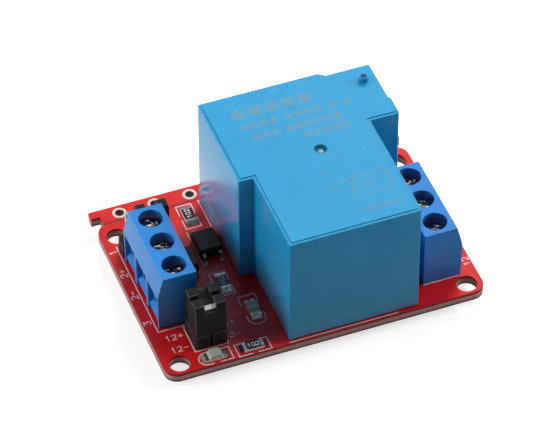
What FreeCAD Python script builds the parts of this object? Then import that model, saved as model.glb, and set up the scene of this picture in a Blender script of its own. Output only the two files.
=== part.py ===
import FreeCAD, Part
import math
import os

os.makedirs("parts", exist_ok=True)

# Relay module board: one power relay, two screw terminals and two jumper headers on a red circuit board.
# Sizes are millimetres, measured from the front left corner of the board on its top face:
# X along the front edge, Y towards the break-off strip, Z up. At the end every piece is moved
# so that the origin lies under the middle of the board, level with the tips of the soldered leads.

# Circuit board
board_thickness = 1.6
corner_radius = 2.0
strip_depth = 3.15
snap_groove_depth = 0.4
snap_groove_width = 0.5
end_slot_length = 1.4
end_slot_width = 1.7
mount_hole_radius = 1.6
mount_inset_x = 2.5
mount_inset_front = 2.05
mount_inset_back = 3.05
strip_hole_radius = 0.65
strip_hole_first_inset = 4.48
strip_hole_last_inset = 6.4
strip_hole_count = 8
strip_hole_back_inset = 1.65
ring_width = 0.45
ring_thickness = 0.05
plating_wall = 0.05

# Soldered leads
lead_drop = 1.4
lead_hole_clearance = 0.25
solder_height = 0.95
solder_spread = 0.55
solder_collar = 0.2

# Holes, eyelets and solder joints are so small that they are drawn with this many flat sides
small_round_sides = 10

# Lay-out of the board from left to right: each gap runs between neighbouring pieces
input_axis_inset = 5.38
parts_lane = 8.27
relay_to_output_gap = 1.85
output_axis_inset = 6.0
selector_center_x = 8.03
trigger_first_x = 3.1
driver_lane_inset = 1.72
resistor_lane_inset = 2.75
opto_lane_inset = 2.45
relay_led_inset = 2.75

# Lay-out of the board from front to back
relay_front_inset = 0.42
relay_back_inset = 0.28
selector_front_inset = 3.46
selector_terminal_gap = 1.055
trigger_terminal_gap = 0.295
output_wing_gap = 1.165

# Screw terminals, both of one pattern
terminal_pitch = 5.08
terminal_ways = 3
terminal_height = 10.0
terminal_top_half = 2.6
terminal_knee_reach = 3.5
terminal_knee_height = 6.4
terminal_foot_reach = 3.4
terminal_back_reach = 2.6
barrier_wall = 1.0
pocket_floor_reach = 2.6
pocket_roof_drop = 0.5
lip_reach = 0.65
lip_nose_top = 1.4
lip_base = 0.8
foot_arch_height = 0.8
foot_arch_width = 2.6
rib_width = 1.2
rib_reach = 0.5
rib_flare = 0.24
rib_top_gap = 1.5

# Metal parts of each terminal way
screw_well_radius = 1.85
screw_head_gap = 0.15
screw_head_height = 1.1
screw_head_lift = 0.3
screw_shank_radius = 1.25
screw_slot_width = 0.6
screw_slot_depth = 0.6
screw_slot_turn = 30.0
screw_running_gap = 0.05
screw_travel = 1.8
cage_outer_width = 3.8
cage_length = 3.4
cage_bottom = 1.5
cage_side = 0.5
cage_floor = 0.5
cage_top = 0.8
cage_clearance = 0.08
wire_plate_thickness = 0.4
wire_plate_side_gap = 0.1
wire_plate_rest_gap = 0.2
wire_plate_top_gap = 0.6
wire_hole_height = 3.2
terminal_lead_width = 1.0
terminal_lead_thickness = 0.8

# Pin headers and push-on caps
header_pitch = 2.54
header_height = 2.54
header_notch = 0.35
header_pin = 0.64
header_pin_rise = 5.5
trigger_pins = 3
cap_end_gap = 0.115
cap_side_gap = 0.06
cap_height = 5.95
cap_wall = 0.55
cap_chamfer_drop = 0.8
cap_chamfer_run = 0.4
cap_notch_width = 1.8
cap_notch_depth = 1.3
cap_contact_width = 0.9
cap_contact_thickness = 0.25
cap_contact_lift = 1.0
cap_inner_gap = 0.05

# Relay on the board
relay_length = 32.4
relay_top = 20.1
relay_foot_gap = 0.3
relay_left_step = 2.3
relay_right_step = 4.7
relay_left_notch = 14.9
relay_right_notch = 20.15
relay_wall = 1.2
relay_panel_rise = 0.12
relay_rim = 0.45
relay_edge_fillet = 0.25
dimple_radius = 1.0
dimple_floor_radius = 0.75
dimple_depth = 0.5
dimple_offset_x = -0.05
dimple_offset_y = 0.81
corner_recess_depth = 0.9
corner_recess_x = 8.3
corner_recess_y = 8.8
vent_peg_radius = 0.7
vent_peg_inset_x = 2.0
vent_peg_inset_y = 2.9
vent_peg_height = 0.8
relay_base_thickness = 1.4
relay_base_gap = 0.06
relay_standoff_size = 1.6
relay_standoff_inset = 2.6

# Relay mechanism
yoke_thickness = 1.5
yoke_width = 11.0
yoke_front_gap = 0.7
yoke_foot_length = 13.4
core_radius = 2.9
core_pole_radius = 3.5
core_pole_height = 0.8
core_rivet_radius = 1.5
bobbin_wall = 0.7
coil_blade_gap = 1.25
bobbin_flange_thickness = 0.8
bobbin_core_gap = 0.1
winding_depth = 2.5
winding_inset = 0.5
coil_yoke_gap = 0.35
coil_lug_side_gap = 0.75
coil_lug_depth = 3.6
coil_pin_inset = 1.0
coil_pin_width = 0.8
coil_pin_rise = 1.2
armature_angle = 4.0
armature_thickness = 1.5
armature_tail = 0.5
armature_reach = 11.6
air_gap = 0.06
contact_spring_thickness = 0.3
contact_spring_width = 7.0
contact_spring_start = 3.0
contact_back_gap = 5.2
contact_headroom = 1.63
contact_spring_end = 2.6
contact_radius = 1.9
moving_contact_above = 0.5
moving_contact_below = 0.8
fixed_contact_height = 0.6
contact_touch_gap = 0.05
contact_arm_thickness = 0.7
contact_arm_width = 4.4
contact_post_spread = 4.6
contact_blade_thickness = 0.8
contact_blade_width = 2.0
contact_wall_gap = 0.5
return_spring_thickness = 0.25
return_spring_width = 5.0
return_spring_gap = 0.12
return_spring_lap = 1.6
return_spring_drop = 5.0
braid_thickness = 0.9
braid_width = 2.4
braid_gap = 0.3
common_wall_gap = 0.3

# Surface-mount parts
package_gap = 0.1
package_taper = 0.12
chip_standoff = 0.05
chip_length = 3.2
chip_width = 1.6
resistor_thickness = 0.6
led_thickness = 0.5
led_lens_height = 0.55
led_lens_length = 1.9
led_lens_slant = 0.18
chip_cap_length = 0.5
chip_cap_wall = 0.06
chip_solder_reach = 0.45
chip_solder_height = 0.45
power_led_x = 7.75
power_led_y = 1.42
relay_led_y = 8.45
front_resistor_x = 13.65
front_resistor_y = 1.32
rear_resistor_y = 30.2
middle_resistor_y = 15.1
opto_y = 22.9
opto_width = 3.6
opto_length = 4.4
opto_height = 2.0
opto_lead_pitch = 2.54
opto_lead_width = 0.45
opto_lead_thickness = 0.22
opto_lead_reach = 1.4
opto_lead_knee = 0.5
diode_y = 20.4
diode_width = 2.6
diode_length = 4.2
diode_height = 2.1
diode_lead_width = 1.4
transistor_y = 13.6
transistor_width = 1.3
transistor_length = 2.9
transistor_height = 1.0
transistor_lead_width = 0.42
small_lead_thickness = 0.15
small_lead_reach = 0.6
small_lead_knee = 0.2
transistor_lead_pitch = 1.9

# How far a cutting solid reaches past the material that it cuts
cut_over = 1.0

# Places that follow from left to right
input_axis_x = input_axis_inset
input_back_x = input_axis_x + terminal_back_reach + rib_reach
bobbin_inner = core_radius + bobbin_core_gap
bobbin_tube = bobbin_inner + bobbin_wall
winding_radius = bobbin_tube + winding_depth
coil_half = winding_radius + winding_inset
neck_inner_half = coil_half + coil_blade_gap + contact_blade_thickness + common_wall_gap
relay_left = input_back_x + parts_lane
neck_left = relay_left + relay_left_step
neck_right = neck_left + 2 * (neck_inner_half + relay_wall)
relay_right = neck_right + relay_right_step
relay_center_x = (relay_left + relay_right) / 2
output_axis_x = neck_right + relay_to_output_gap + rib_reach + terminal_back_reach
board_length = output_axis_x + output_axis_inset
driver_x = input_back_x + driver_lane_inset
side_resistor_x = relay_left - resistor_lane_inset
opto_x = relay_left - opto_lane_inset
relay_led_x = neck_left - relay_led_inset

# Places that follow from front to back
relay_front = relay_front_inset
relay_back = relay_front + relay_length
relay_center_y = (relay_front + relay_back) / 2
board_depth = relay_back + relay_back_inset
terminal_span = terminal_ways * terminal_pitch
terminal_first_offset = terminal_pitch / 2
selector_center_y = selector_front_inset + header_pitch
input_front_y = selector_center_y + header_pitch + selector_terminal_gap
input_first_y = input_front_y + terminal_first_offset
trigger_row_y = input_front_y + terminal_span + trigger_terminal_gap + header_pitch / 2
output_back_y = relay_front + relay_right_notch - output_wing_gap
output_first_y = output_back_y - terminal_span + terminal_first_offset

# Other values that follow from the sizes above
board_full_depth = board_depth + strip_depth
board_bottom = -board_thickness
lead_tip = board_bottom - lead_drop
origin_shift = FreeCAD.Vector(-board_length / 2, -board_full_depth / 2, -lead_tip)
cage_window_height = wire_plate_rest_gap + wire_plate_thickness + screw_travel + wire_plate_top_gap
cage_top_z = cage_bottom + cage_floor + cage_window_height + cage_top
screw_head_radius = screw_well_radius - screw_head_gap
screw_head_low = cage_top_z + screw_head_lift
cap_length = 2 * (header_pitch - cap_end_gap)
cap_width = header_pitch - 2 * cap_side_gap

solder_list = []
hole_list = []


def box(x0, x1, y0, y1, z0, z1):
    """Block between two corners."""
    return Part.makeBox(x1 - x0, y1 - y0, z1 - z0, FreeCAD.Vector(x0, y0, z0))


def centred(x, y, width, depth, z0, z1):
    """Block centred on x, y."""
    return box(x - width / 2, x + width / 2, y - depth / 2, y + depth / 2, z0, z1)


def rod(x, y, radius, z0, z1):
    """Upright cylinder."""
    return Part.makeCylinder(radius, z1 - z0, FreeCAD.Vector(x, y, z0))


def small_round(x, y, low_radius, high_radius, z0, z1):
    """Small upright round, straight or tapered, with a few flat sides."""
    turns = [2 * math.pi * side / small_round_sides for side in range(small_round_sides)]
    turns.append(0)
    low = [FreeCAD.Vector(x + low_radius * math.cos(t), y + low_radius * math.sin(t), z0) for t in turns]
    high = [FreeCAD.Vector(x + high_radius * math.cos(t), y + high_radius * math.sin(t), z1) for t in turns]
    faces = [Part.Face(Part.makePolygon(low)), Part.Face(Part.makePolygon(high))]
    for side in range(small_round_sides):
        faces.append(Part.Face(Part.makePolygon([low[side], low[side + 1], high[side + 1], high[side],
                                                 low[side]])))
    return Part.makeSolid(Part.makeShell(faces))


def prism(points, direction):
    """Closed outline of points pushed along a direction."""
    corners = [FreeCAD.Vector(*p) for p in points]
    face = Part.Face(Part.makePolygon(corners + corners[:1]))
    return face.extrude(FreeCAD.Vector(*direction))


def join(shapes):
    """One solid from touching solids."""
    whole = shapes[0]
    if len(shapes) > 1:
        whole = shapes[0].fuse(shapes[1:])
    return whole.removeSplitter()


def save(name, shape):
    """Moves a piece to the part's own frame and writes it."""
    placed = shape.copy()
    placed.translate(origin_shift)
    placed.exportStep("parts/" + name + ".step")


def save_group(name, shapes):
    """Writes several separate solids as one named group."""
    save(name, Part.makeCompound(shapes))


def lead(x, y, width, depth, top):
    """Square or flat lead from a height above the board down to its tip, with its hole and solder joint."""
    hole_radius = math.hypot(width, depth) / 2 + lead_hole_clearance
    hole_list.append((x, y, hole_radius))
    solder_list.append((x, y, width, depth, hole_radius))
    return centred(x, y, width, depth, lead_tip, top)


def solder_joint(x, y, width, depth, hole_radius):
    """Cone of solder between a lead and its pad under the board."""
    foot = min(width, depth) / 2 + solder_collar
    cone = small_round(x, y, foot, hole_radius + solder_spread, board_bottom - solder_height, board_bottom)
    return cone.cut(centred(x, y, width, depth, lead_tip, 0))


# Screw terminals

def terminal_profile(axis_x, toward, first_y):
    """Side profile of a terminal: upright back, flat top, slanted shoulder and short undercut foot."""
    reach = [(-terminal_back_reach, 0), (-terminal_back_reach, terminal_height),
             (terminal_top_half, terminal_height), (terminal_knee_reach, terminal_knee_height),
             (terminal_foot_reach, 0)]
    front = first_y - terminal_first_offset
    return prism([(axis_x + toward * w, front, z) for w, z in reach], (0, terminal_span, 0))


def toward_box(axis_x, toward, w0, w1, y0, y1, z0, z1):
    """Block given by its reach from the screw axis towards the wire side."""
    ends = sorted((axis_x + toward * w0, axis_x + toward * w1))
    return box(ends[0], ends[1], y0, y1, z0, z1)


def terminal_housing(axis_x, toward, first_y):
    """Moulded housing: barrier walls, wire funnels, screw wells, cage chambers and back ribs."""
    body = terminal_profile(axis_x, toward, first_y)
    cage_half = cage_length / 2 + cage_clearance
    side_half = cage_outer_width / 2 + cage_clearance
    chamber_top = cage_top_z + cage_clearance
    pocket_half = (terminal_pitch - barrier_wall) / 2
    pocket_roof = terminal_knee_height - pocket_roof_drop
    cuts = []
    lips = []
    for way in range(terminal_ways):
        y = first_y + way * terminal_pitch
        cuts.append(rod(axis_x, y, screw_well_radius, chamber_top - cage_clearance,
                        terminal_height + cut_over))
        cuts.append(toward_box(axis_x, toward, -cage_half, cage_half, y - side_half, y + side_half,
                               cage_bottom - cage_clearance, chamber_top))
        cuts.append(toward_box(axis_x, toward, pocket_floor_reach, terminal_knee_reach + cut_over,
                               y - pocket_half, y + pocket_half, -cut_over, pocket_roof))
        window_half = cage_outer_width / 2 - cage_side
        cuts.append(toward_box(axis_x, toward, 0, terminal_knee_reach, y - window_half, y + window_half,
                               cage_bottom + cage_floor, cage_bottom + cage_floor + wire_hole_height))
        cuts.append(centred(axis_x, y, terminal_lead_width, terminal_lead_thickness, -cut_over, cage_bottom))
        cuts.append(toward_box(axis_x, toward, terminal_back_reach, terminal_knee_reach,
                               y - foot_arch_width / 2, y + foot_arch_width / 2, -cut_over, foot_arch_height))
        inner = axis_x + toward * pocket_floor_reach
        outer = axis_x + toward * (pocket_floor_reach + lip_reach)
        lips.append(prism([(inner, y - pocket_half, lip_base), (outer, y - pocket_half, lip_base),
                           (outer, y - pocket_half, lip_nose_top),
                           (inner, y - pocket_half, cage_bottom + cage_floor)],
                          (0, 2 * pocket_half, 0)))
    ribs = []
    for way in range(terminal_ways):
        y = first_y + way * terminal_pitch
        near = axis_x - toward * terminal_back_reach
        far = near - toward * rib_reach
        ribs.append(prism([(near, y - rib_width / 2, 0), (near, y + rib_width / 2, 0),
                           (far, y + rib_width / 2 + rib_flare, 0), (far, y - rib_width / 2 - rib_flare, 0)],
                          (0, 0, terminal_height - rib_top_gap)))
    return join([body.cut(Part.makeCompound(cuts))] + lips + ribs)


def terminal_cage(axis_x, y):
    """Folded metal cage with a threaded top wall and its solder lead."""
    top = cage_top_z
    outer = centred(axis_x, y, cage_length, cage_outer_width, cage_bottom, top)
    window = centred(axis_x, y, cage_length + cut_over, cage_outer_width - 2 * cage_side,
                     cage_bottom + cage_floor, top - cage_top)
    bore = rod(axis_x, y, screw_shank_radius + screw_running_gap, top - cage_top - cut_over, top + cut_over)
    pin = lead(axis_x, y, terminal_lead_width, terminal_lead_thickness, cage_bottom)
    return join([outer.cut(window).cut(bore), pin])


def wire_plate(axis_x, y):
    """Pressure plate that the screw tip pushes down on the wire."""
    low = cage_bottom + cage_floor + wire_plate_rest_gap
    width = cage_outer_width - 2 * cage_side - 2 * wire_plate_side_gap
    return centred(axis_x, y, cage_length, width, low, low + wire_plate_thickness)


def terminal_screw(axis_x, y):
    """Slotted cheese-head screw, its tip resting on the pressure plate."""
    head_top = screw_head_low + screw_head_height
    tip = cage_bottom + cage_floor + wire_plate_rest_gap + wire_plate_thickness
    head = rod(axis_x, y, screw_head_radius, screw_head_low, head_top)
    slot = centred(axis_x, y, screw_slot_width, 2 * screw_head_radius + cut_over,
                   head_top - screw_slot_depth, head_top + cut_over)
    slot.rotate(FreeCAD.Vector(axis_x, y, 0), FreeCAD.Vector(0, 0, 1), screw_slot_turn)
    return join([head.cut(slot), rod(axis_x, y, screw_shank_radius, tip, screw_head_low)])


def build_terminal(name, axis_x, toward, first_y):
    """All pieces of one three-way terminal."""
    save(name + "_terminal_housing", terminal_housing(axis_x, toward, first_y))
    cages = []
    for way in range(terminal_ways):
        y = first_y + way * terminal_pitch
        cages.append(terminal_cage(axis_x, y))
        save(name + "_clamp_plate_" + str(way + 1), wire_plate(axis_x, y))
        save(name + "_screw_" + str(way + 1), terminal_screw(axis_x, y))
    save_group(name + "_terminal_cages", cages)


build_terminal("input", input_axis_x, -1, input_first_y)
build_terminal("output", output_axis_x, 1, output_first_y)


# Pin headers and push-on caps

def header_base(x0, y0, columns, rows):
    """Insulator strip with a notch between neighbouring ways and a hole for every pin."""
    length = columns * header_pitch
    depth = rows * header_pitch
    left = x0 - header_pitch / 2
    front = y0 - header_pitch / 2
    block = box(left, left + length, front, front + depth, 0, header_height)
    cuts = []
    for column in range(columns + 1):
        x = left + column * header_pitch
        for side in (front, front + depth):
            cuts.append(prism([(x - header_notch, side, -cut_over), (x, side - header_notch, -cut_over),
                               (x + header_notch, side, -cut_over), (x, side + header_notch, -cut_over)],
                              (0, 0, header_height + 2 * cut_over)))
    for column in range(columns):
        for row in range(rows):
            cuts.append(centred(x0 + column * header_pitch, y0 + row * header_pitch,
                                header_pin, header_pin, -cut_over, header_height + cut_over))
    return block.cut(Part.makeCompound(cuts))


def header_pins(x0, y0, columns, rows):
    """Square pins through the insulator and the board."""
    top = header_height + header_pin_rise
    return [lead(x0 + column * header_pitch, y0 + row * header_pitch, header_pin, header_pin, top)
            for column in range(columns) for row in range(rows)]


def cap_body(x, y):
    """Push-on cap over two pins: hollow inside, notched across the top, its long top edges chamfered."""
    low = header_height
    top = header_height + cap_height
    half = cap_width / 2
    outline = [(x - cap_length / 2, y - half, low), (x - cap_length / 2, y + half, low),
               (x - cap_length / 2, y + half, top - cap_chamfer_drop),
               (x - cap_length / 2, y + half - cap_chamfer_run, top),
               (x - cap_length / 2, y - half + cap_chamfer_run, top),
               (x - cap_length / 2, y - half, top - cap_chamfer_drop)]
    block = prism(outline, (cap_length, 0, 0))
    notch_floor = top - cap_notch_depth
    notch = centred(x, y, cap_notch_width, cap_width + cut_over, notch_floor, top + cut_over)
    hollow = centred(x, y, cap_length - 2 * cap_wall, cap_contact_width + 2 * cap_inner_gap,
                     low - cut_over, notch_floor)
    pin_room_width = header_pin + 2 * cap_inner_gap
    pin_rooms = [centred(x + side * header_pitch / 2, y, pin_room_width, pin_room_width, low,
                         header_height + header_pin_rise + cap_inner_gap) for side in (-1, 1)]
    return block.cut(Part.makeCompound([notch, hollow] + pin_rooms))


def cap_contact(x, y):
    """Bent strip that bridges the two pins and bears on their inner faces."""
    top = header_height + cap_height - cap_notch_depth
    half = header_pitch / 2 - header_pin / 2
    low = header_height + cap_contact_lift
    bridge = box(x - half, x + half, y - cap_contact_width / 2, y + cap_contact_width / 2,
                 top - cap_contact_thickness, top)
    legs = [box(min(x + side * half, x + side * (half - cap_contact_thickness)),
                max(x + side * half, x + side * (half - cap_contact_thickness)),
                y - cap_contact_width / 2, y + cap_contact_width / 2, low, top) for side in (-1, 1)]
    return join([bridge] + legs)


selector_first_x = selector_center_x - header_pitch / 2
selector_first_y = selector_center_y - header_pitch / 2
save("selector_header_base", header_base(selector_first_x, selector_first_y, 2, 2))
save_group("selector_header_pins", header_pins(selector_first_x, selector_first_y, 2, 2))
for cap_name, cap_row in (("front", 0), ("rear", 1)):
    cap_y = selector_first_y + cap_row * header_pitch
    save("selector_cap_" + cap_name, cap_body(selector_center_x, cap_y))
    save("selector_contact_" + cap_name, cap_contact(selector_center_x, cap_y))

trigger_cap_x = trigger_first_x + (trigger_pins - 1.5) * header_pitch
save("trigger_header_base", header_base(trigger_first_x, trigger_row_y, trigger_pins, 1))
save_group("trigger_header_pins", header_pins(trigger_first_x, trigger_row_y, trigger_pins, 1))
save("trigger_cap", cap_body(trigger_cap_x, trigger_row_y))
save("trigger_cap_contact", cap_contact(trigger_cap_x, trigger_row_y))


# Relay case

def tee_outline(inset, z):
    """Plan of the case, a wide back and a narrower front, drawn in by an inset."""
    left_step = relay_front + relay_left_notch + inset
    right_step = relay_front + relay_right_notch + inset
    return [(relay_left + inset, relay_back - inset, z), (relay_left + inset, left_step, z),
            (neck_left + inset, left_step, z), (neck_left + inset, relay_front + inset, z),
            (neck_right - inset, relay_front + inset, z), (neck_right - inset, right_step, z),
            (relay_right - inset, right_step, z), (relay_right - inset, relay_back - inset, z)]


def relay_cover():
    """Five-sided case with a raised top panel, a gate dimple and a sunk corner that holds the vent peg."""
    shell_top = relay_top - relay_panel_rise
    shell = prism(tee_outline(0, relay_foot_gap), (0, 0, shell_top - relay_foot_gap))
    upright = [edge for edge in shell.Edges
               if abs(edge.Vertexes[0].Z - edge.Vertexes[-1].Z) > relay_top / 2]
    shell = shell.makeFillet(relay_edge_fillet, upright)
    panel = prism(tee_outline(relay_rim, shell_top), (0, 0, relay_panel_rise))
    shell = shell.fuse(panel)
    hollow = prism(tee_outline(relay_wall, relay_foot_gap - cut_over),
                   (0, 0, shell_top - relay_wall - relay_foot_gap + cut_over))
    dimple_place = FreeCAD.Vector(relay_center_x + dimple_offset_x, relay_center_y + dimple_offset_y,
                                  relay_top - dimple_depth)
    dimple = Part.makeCone(dimple_floor_radius, dimple_radius, dimple_depth, dimple_place)
    recess_floor = relay_top - corner_recess_depth
    recess = prism([(relay_right, relay_back, recess_floor),
                    (relay_right - corner_recess_x, relay_back, recess_floor),
                    (relay_right, relay_back - corner_recess_y, recess_floor)],
                   (0, 0, corner_recess_depth))
    peg = rod(relay_right - vent_peg_inset_x, relay_back - vent_peg_inset_y, vent_peg_radius,
              recess_floor, recess_floor + vent_peg_height)
    return shell.cut(Part.makeCompound([hollow, dimple, recess])).fuse(peg).removeSplitter()


def relay_base(slots):
    """Base plate that closes the case, with standoff feet and a slot for every lead."""
    low = relay_foot_gap
    plate = prism(tee_outline(relay_wall + relay_base_gap, low), (0, 0, relay_base_thickness))
    inset = relay_wall + relay_standoff_inset
    feet = [centred(x, y, relay_standoff_size, relay_standoff_size, 0, low)
            for x, y in ((neck_left + inset, relay_front + inset), (neck_right - inset, relay_front + inset),
                         (relay_left + inset, relay_back - inset), (relay_right - inset, relay_back - inset))]
    holes = [centred(x, y, width, depth, low - cut_over, low + relay_base_thickness + cut_over)
             for x, y, width, depth in slots]
    return join([plate] + feet).cut(Part.makeCompound(holes))


# Relay mechanism, set in the narrow front of the case with its contacts in the wide back

floor_z = relay_foot_gap + relay_base_thickness
mech_x = (neck_left + neck_right) / 2
yoke_front_y = relay_front + relay_wall + yoke_front_gap
hinge_y = yoke_front_y + yoke_thickness
yoke_foot_top = floor_z + yoke_thickness
coil_y = hinge_y + coil_yoke_gap + coil_half
contact_y = relay_back - relay_wall - contact_back_gap
contact_reach = contact_y - hinge_y
contact_stack = (armature_thickness + contact_spring_thickness + moving_contact_above + contact_touch_gap
                 + fixed_contact_height + contact_arm_thickness)
hinge_z = relay_top - relay_panel_rise - relay_wall - contact_headroom - contact_stack
closed_sink = math.tan(math.radians(armature_angle)) * (coil_y - hinge_y + core_pole_radius)
pole_top = hinge_z - closed_sink - air_gap
bobbin_low = yoke_foot_top
bobbin_high = pole_top - core_pole_height - air_gap
armature_top = hinge_z + armature_thickness
spring_top = armature_top + contact_spring_thickness
post_y = relay_back - relay_wall - contact_wall_gap - contact_blade_thickness / 2

yoke = join([box(mech_x - yoke_width / 2, mech_x + yoke_width / 2, yoke_front_y, hinge_y, floor_z, hinge_z),
             box(mech_x - yoke_width / 2, mech_x + yoke_width / 2, yoke_front_y,
                 yoke_front_y + yoke_foot_length, floor_z, yoke_foot_top)])
rivet_room = core_rivet_radius + bobbin_core_gap / 2
yoke = yoke.cut(small_round(mech_x, coil_y, rivet_room, rivet_room, floor_z, yoke_foot_top))
save("relay_yoke", yoke)

core = join([small_round(mech_x, coil_y, core_rivet_radius, core_rivet_radius, floor_z, yoke_foot_top),
             rod(mech_x, coil_y, core_radius, yoke_foot_top, pole_top - core_pole_height),
             rod(mech_x, coil_y, core_pole_radius, pole_top - core_pole_height, pole_top)])
save("relay_core", core)

winding_low = bobbin_low + bobbin_flange_thickness
winding_high = bobbin_high - bobbin_flange_thickness
lug_front = hinge_y + coil_yoke_gap / 2
lug_half = neck_inner_half - coil_lug_side_gap
lug = box(mech_x - lug_half, mech_x + lug_half, lug_front, lug_front + coil_lug_depth,
          bobbin_low, winding_low)
bobbin = join([centred(mech_x, coil_y, 2 * coil_half, 2 * coil_half, bobbin_low, winding_low), lug,
               rod(mech_x, coil_y, bobbin_tube, winding_low, winding_high),
               centred(mech_x, coil_y, 2 * coil_half, 2 * coil_half, winding_high, bobbin_high)])
bobbin = bobbin.cut(rod(mech_x, coil_y, bobbin_inner, bobbin_low, bobbin_high))
coil_pin_y = lug_front + coil_lug_depth / 2
coil_pin_places = [(mech_x + side * (lug_half - coil_pin_inset), coil_pin_y) for side in (-1, 1)]
for pin_x, pin_y in coil_pin_places:
    bobbin = bobbin.cut(centred(pin_x, pin_y, coil_pin_width, coil_pin_width, bobbin_low, winding_low))
save("relay_bobbin", bobbin)

winding = rod(mech_x, coil_y, winding_radius, winding_low, winding_high).cut(
    rod(mech_x, coil_y, bobbin_tube, winding_low, winding_high))
save("relay_winding", winding)
coil_pin_top = winding_low + coil_pin_rise
save_group("relay_coil_pins", [lead(pin_x, pin_y, coil_pin_width, coil_pin_width, coil_pin_top)
                               for pin_x, pin_y in coil_pin_places])

armature = box(mech_x - yoke_width / 2, mech_x + yoke_width / 2, hinge_y - armature_tail,
               hinge_y + armature_reach, hinge_z, armature_top)
save("relay_armature", armature)

contact_spring = box(mech_x - contact_spring_width / 2, mech_x + contact_spring_width / 2,
                     hinge_y + contact_spring_start, contact_y + contact_spring_end,
                     armature_top, spring_top)
rivet_hole = small_round(mech_x, contact_y, contact_radius / 2, contact_radius / 2, armature_top, spring_top)
save("relay_contact_spring", contact_spring.cut(rivet_hole))
contact_low = armature_top - moving_contact_below
contact_high = spring_top + moving_contact_above
rivet_shank_radius = contact_radius / 2 - contact_touch_gap
save("relay_moving_contact", join([
    rod(mech_x, contact_y, contact_radius, contact_low, armature_top),
    small_round(mech_x, contact_y, rivet_shank_radius, rivet_shank_radius, armature_top, spring_top),
    rod(mech_x, contact_y, contact_radius, spring_top, contact_high)]))

swing = math.radians(armature_angle)
open_contact_top = (hinge_z + (armature_thickness - moving_contact_below) * math.cos(swing)
                    - (contact_reach + contact_radius) * math.sin(swing) - contact_touch_gap)
closed_contact_low = contact_high + contact_touch_gap


def fixed_contact(side, low, high, arm_low):
    """Fixed contact: a rivet on an arm, a post beside the spring and a flat blade through the base."""
    post_x = mech_x + side * contact_post_spread
    arm_high = arm_low + contact_arm_thickness
    arm = box(mech_x - contact_arm_width / 2, mech_x + contact_arm_width / 2, contact_y - contact_radius,
              post_y + contact_blade_thickness / 2, arm_low, arm_high)
    link = box(min(mech_x, post_x - contact_blade_width / 2), max(mech_x, post_x + contact_blade_width / 2),
               post_y - contact_blade_thickness / 2, post_y + contact_blade_thickness / 2, arm_low, arm_high)
    blade = lead(post_x, post_y, contact_blade_width, contact_blade_thickness, arm_high)
    return join([arm, link, blade, rod(mech_x, contact_y, contact_radius, low, high)])


save("relay_open_contact", fixed_contact(-1, open_contact_top - fixed_contact_height, open_contact_top,
                                         open_contact_top - fixed_contact_height - contact_arm_thickness))
save("relay_closed_contact", fixed_contact(1, closed_contact_low, closed_contact_low + fixed_contact_height,
                                           closed_contact_low + fixed_contact_height))

common_x = mech_x - neck_inner_half + common_wall_gap + contact_blade_thickness / 2
common_blade = lead(common_x, coil_y, contact_blade_thickness, contact_blade_width, armature_top)
save("relay_common_contact", common_blade)

braid_low = spring_top + braid_gap
braid_inner_y = coil_y + braid_width / 2
braid_profile = [(common_x - contact_blade_thickness / 2, braid_inner_y, armature_top),
                 (common_x + contact_blade_thickness / 2, braid_inner_y, armature_top),
                 (mech_x - contact_spring_width / 2, braid_inner_y, braid_low),
                 (mech_x, braid_inner_y, braid_low), (mech_x, braid_inner_y, braid_low + braid_thickness),
                 (mech_x - contact_spring_width / 2, braid_inner_y, braid_low + braid_thickness)]
save("relay_braid", prism(braid_profile, (0, -braid_width, 0)))

spring_x0 = mech_x - return_spring_width / 2
spring_x1 = mech_x + return_spring_width / 2
rise = armature_top + return_spring_gap
return_spring = join([
    box(spring_x0, spring_x1, yoke_front_y - return_spring_thickness, yoke_front_y,
        hinge_z - return_spring_drop, rise + return_spring_thickness),
    box(spring_x0, spring_x1, yoke_front_y - return_spring_thickness, hinge_y + return_spring_lap,
        rise, rise + return_spring_thickness)])
save("relay_return_spring", return_spring)

blade_slots = [(mech_x - contact_post_spread, post_y, contact_blade_width, contact_blade_thickness),
               (mech_x + contact_post_spread, post_y, contact_blade_width, contact_blade_thickness),
               (common_x, coil_y, contact_blade_thickness, contact_blade_width)]
pin_slots = [(pin_x, pin_y, coil_pin_width, coil_pin_width) for pin_x, pin_y in coil_pin_places]
save("relay_base", relay_base(blade_slots + pin_slots))
save("relay_cover", relay_cover())


# Surface-mount parts

chip_fillets = []


def along(x, y, turn, shape):
    """Turns a piece that was drawn along X about its own middle."""
    shape.rotate(FreeCAD.Vector(x, y, 0), FreeCAD.Vector(0, 0, 1), turn)
    return shape


def chip_fillet_pair(x, y, turn, height):
    """Sloped solder at both ends of a chip."""
    for side in (-1, 1):
        end = x + side * chip_length / 2
        toe = end + side * chip_solder_reach
        half = chip_width / 2
        slope = prism([(end, y - half, 0), (toe, y - half, 0), (end, y - half, height)], (0, chip_width, 0))
        chip_fillets.append(along(x, y, turn, slope))


def chip_caps(x, y, turn, thickness):
    """Metal end caps, wrapped round both ends of a chip."""
    caps = []
    for side in (-1, 1):
        end = x + side * chip_length / 2
        inner = end - side * chip_cap_length
        cap = box(min(end, inner), max(end, inner), y - chip_width / 2, y + chip_width / 2,
                  0, thickness)
        room = box(min(end - side * chip_cap_wall, inner - side * cut_over),
                   max(end - side * chip_cap_wall, inner - side * cut_over),
                   y - chip_width / 2 - cut_over, y + chip_width / 2 + cut_over, chip_cap_wall,
                   thickness - chip_cap_wall)
        caps.append(along(x, y, turn, cap.cut(room)))
    return caps


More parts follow.
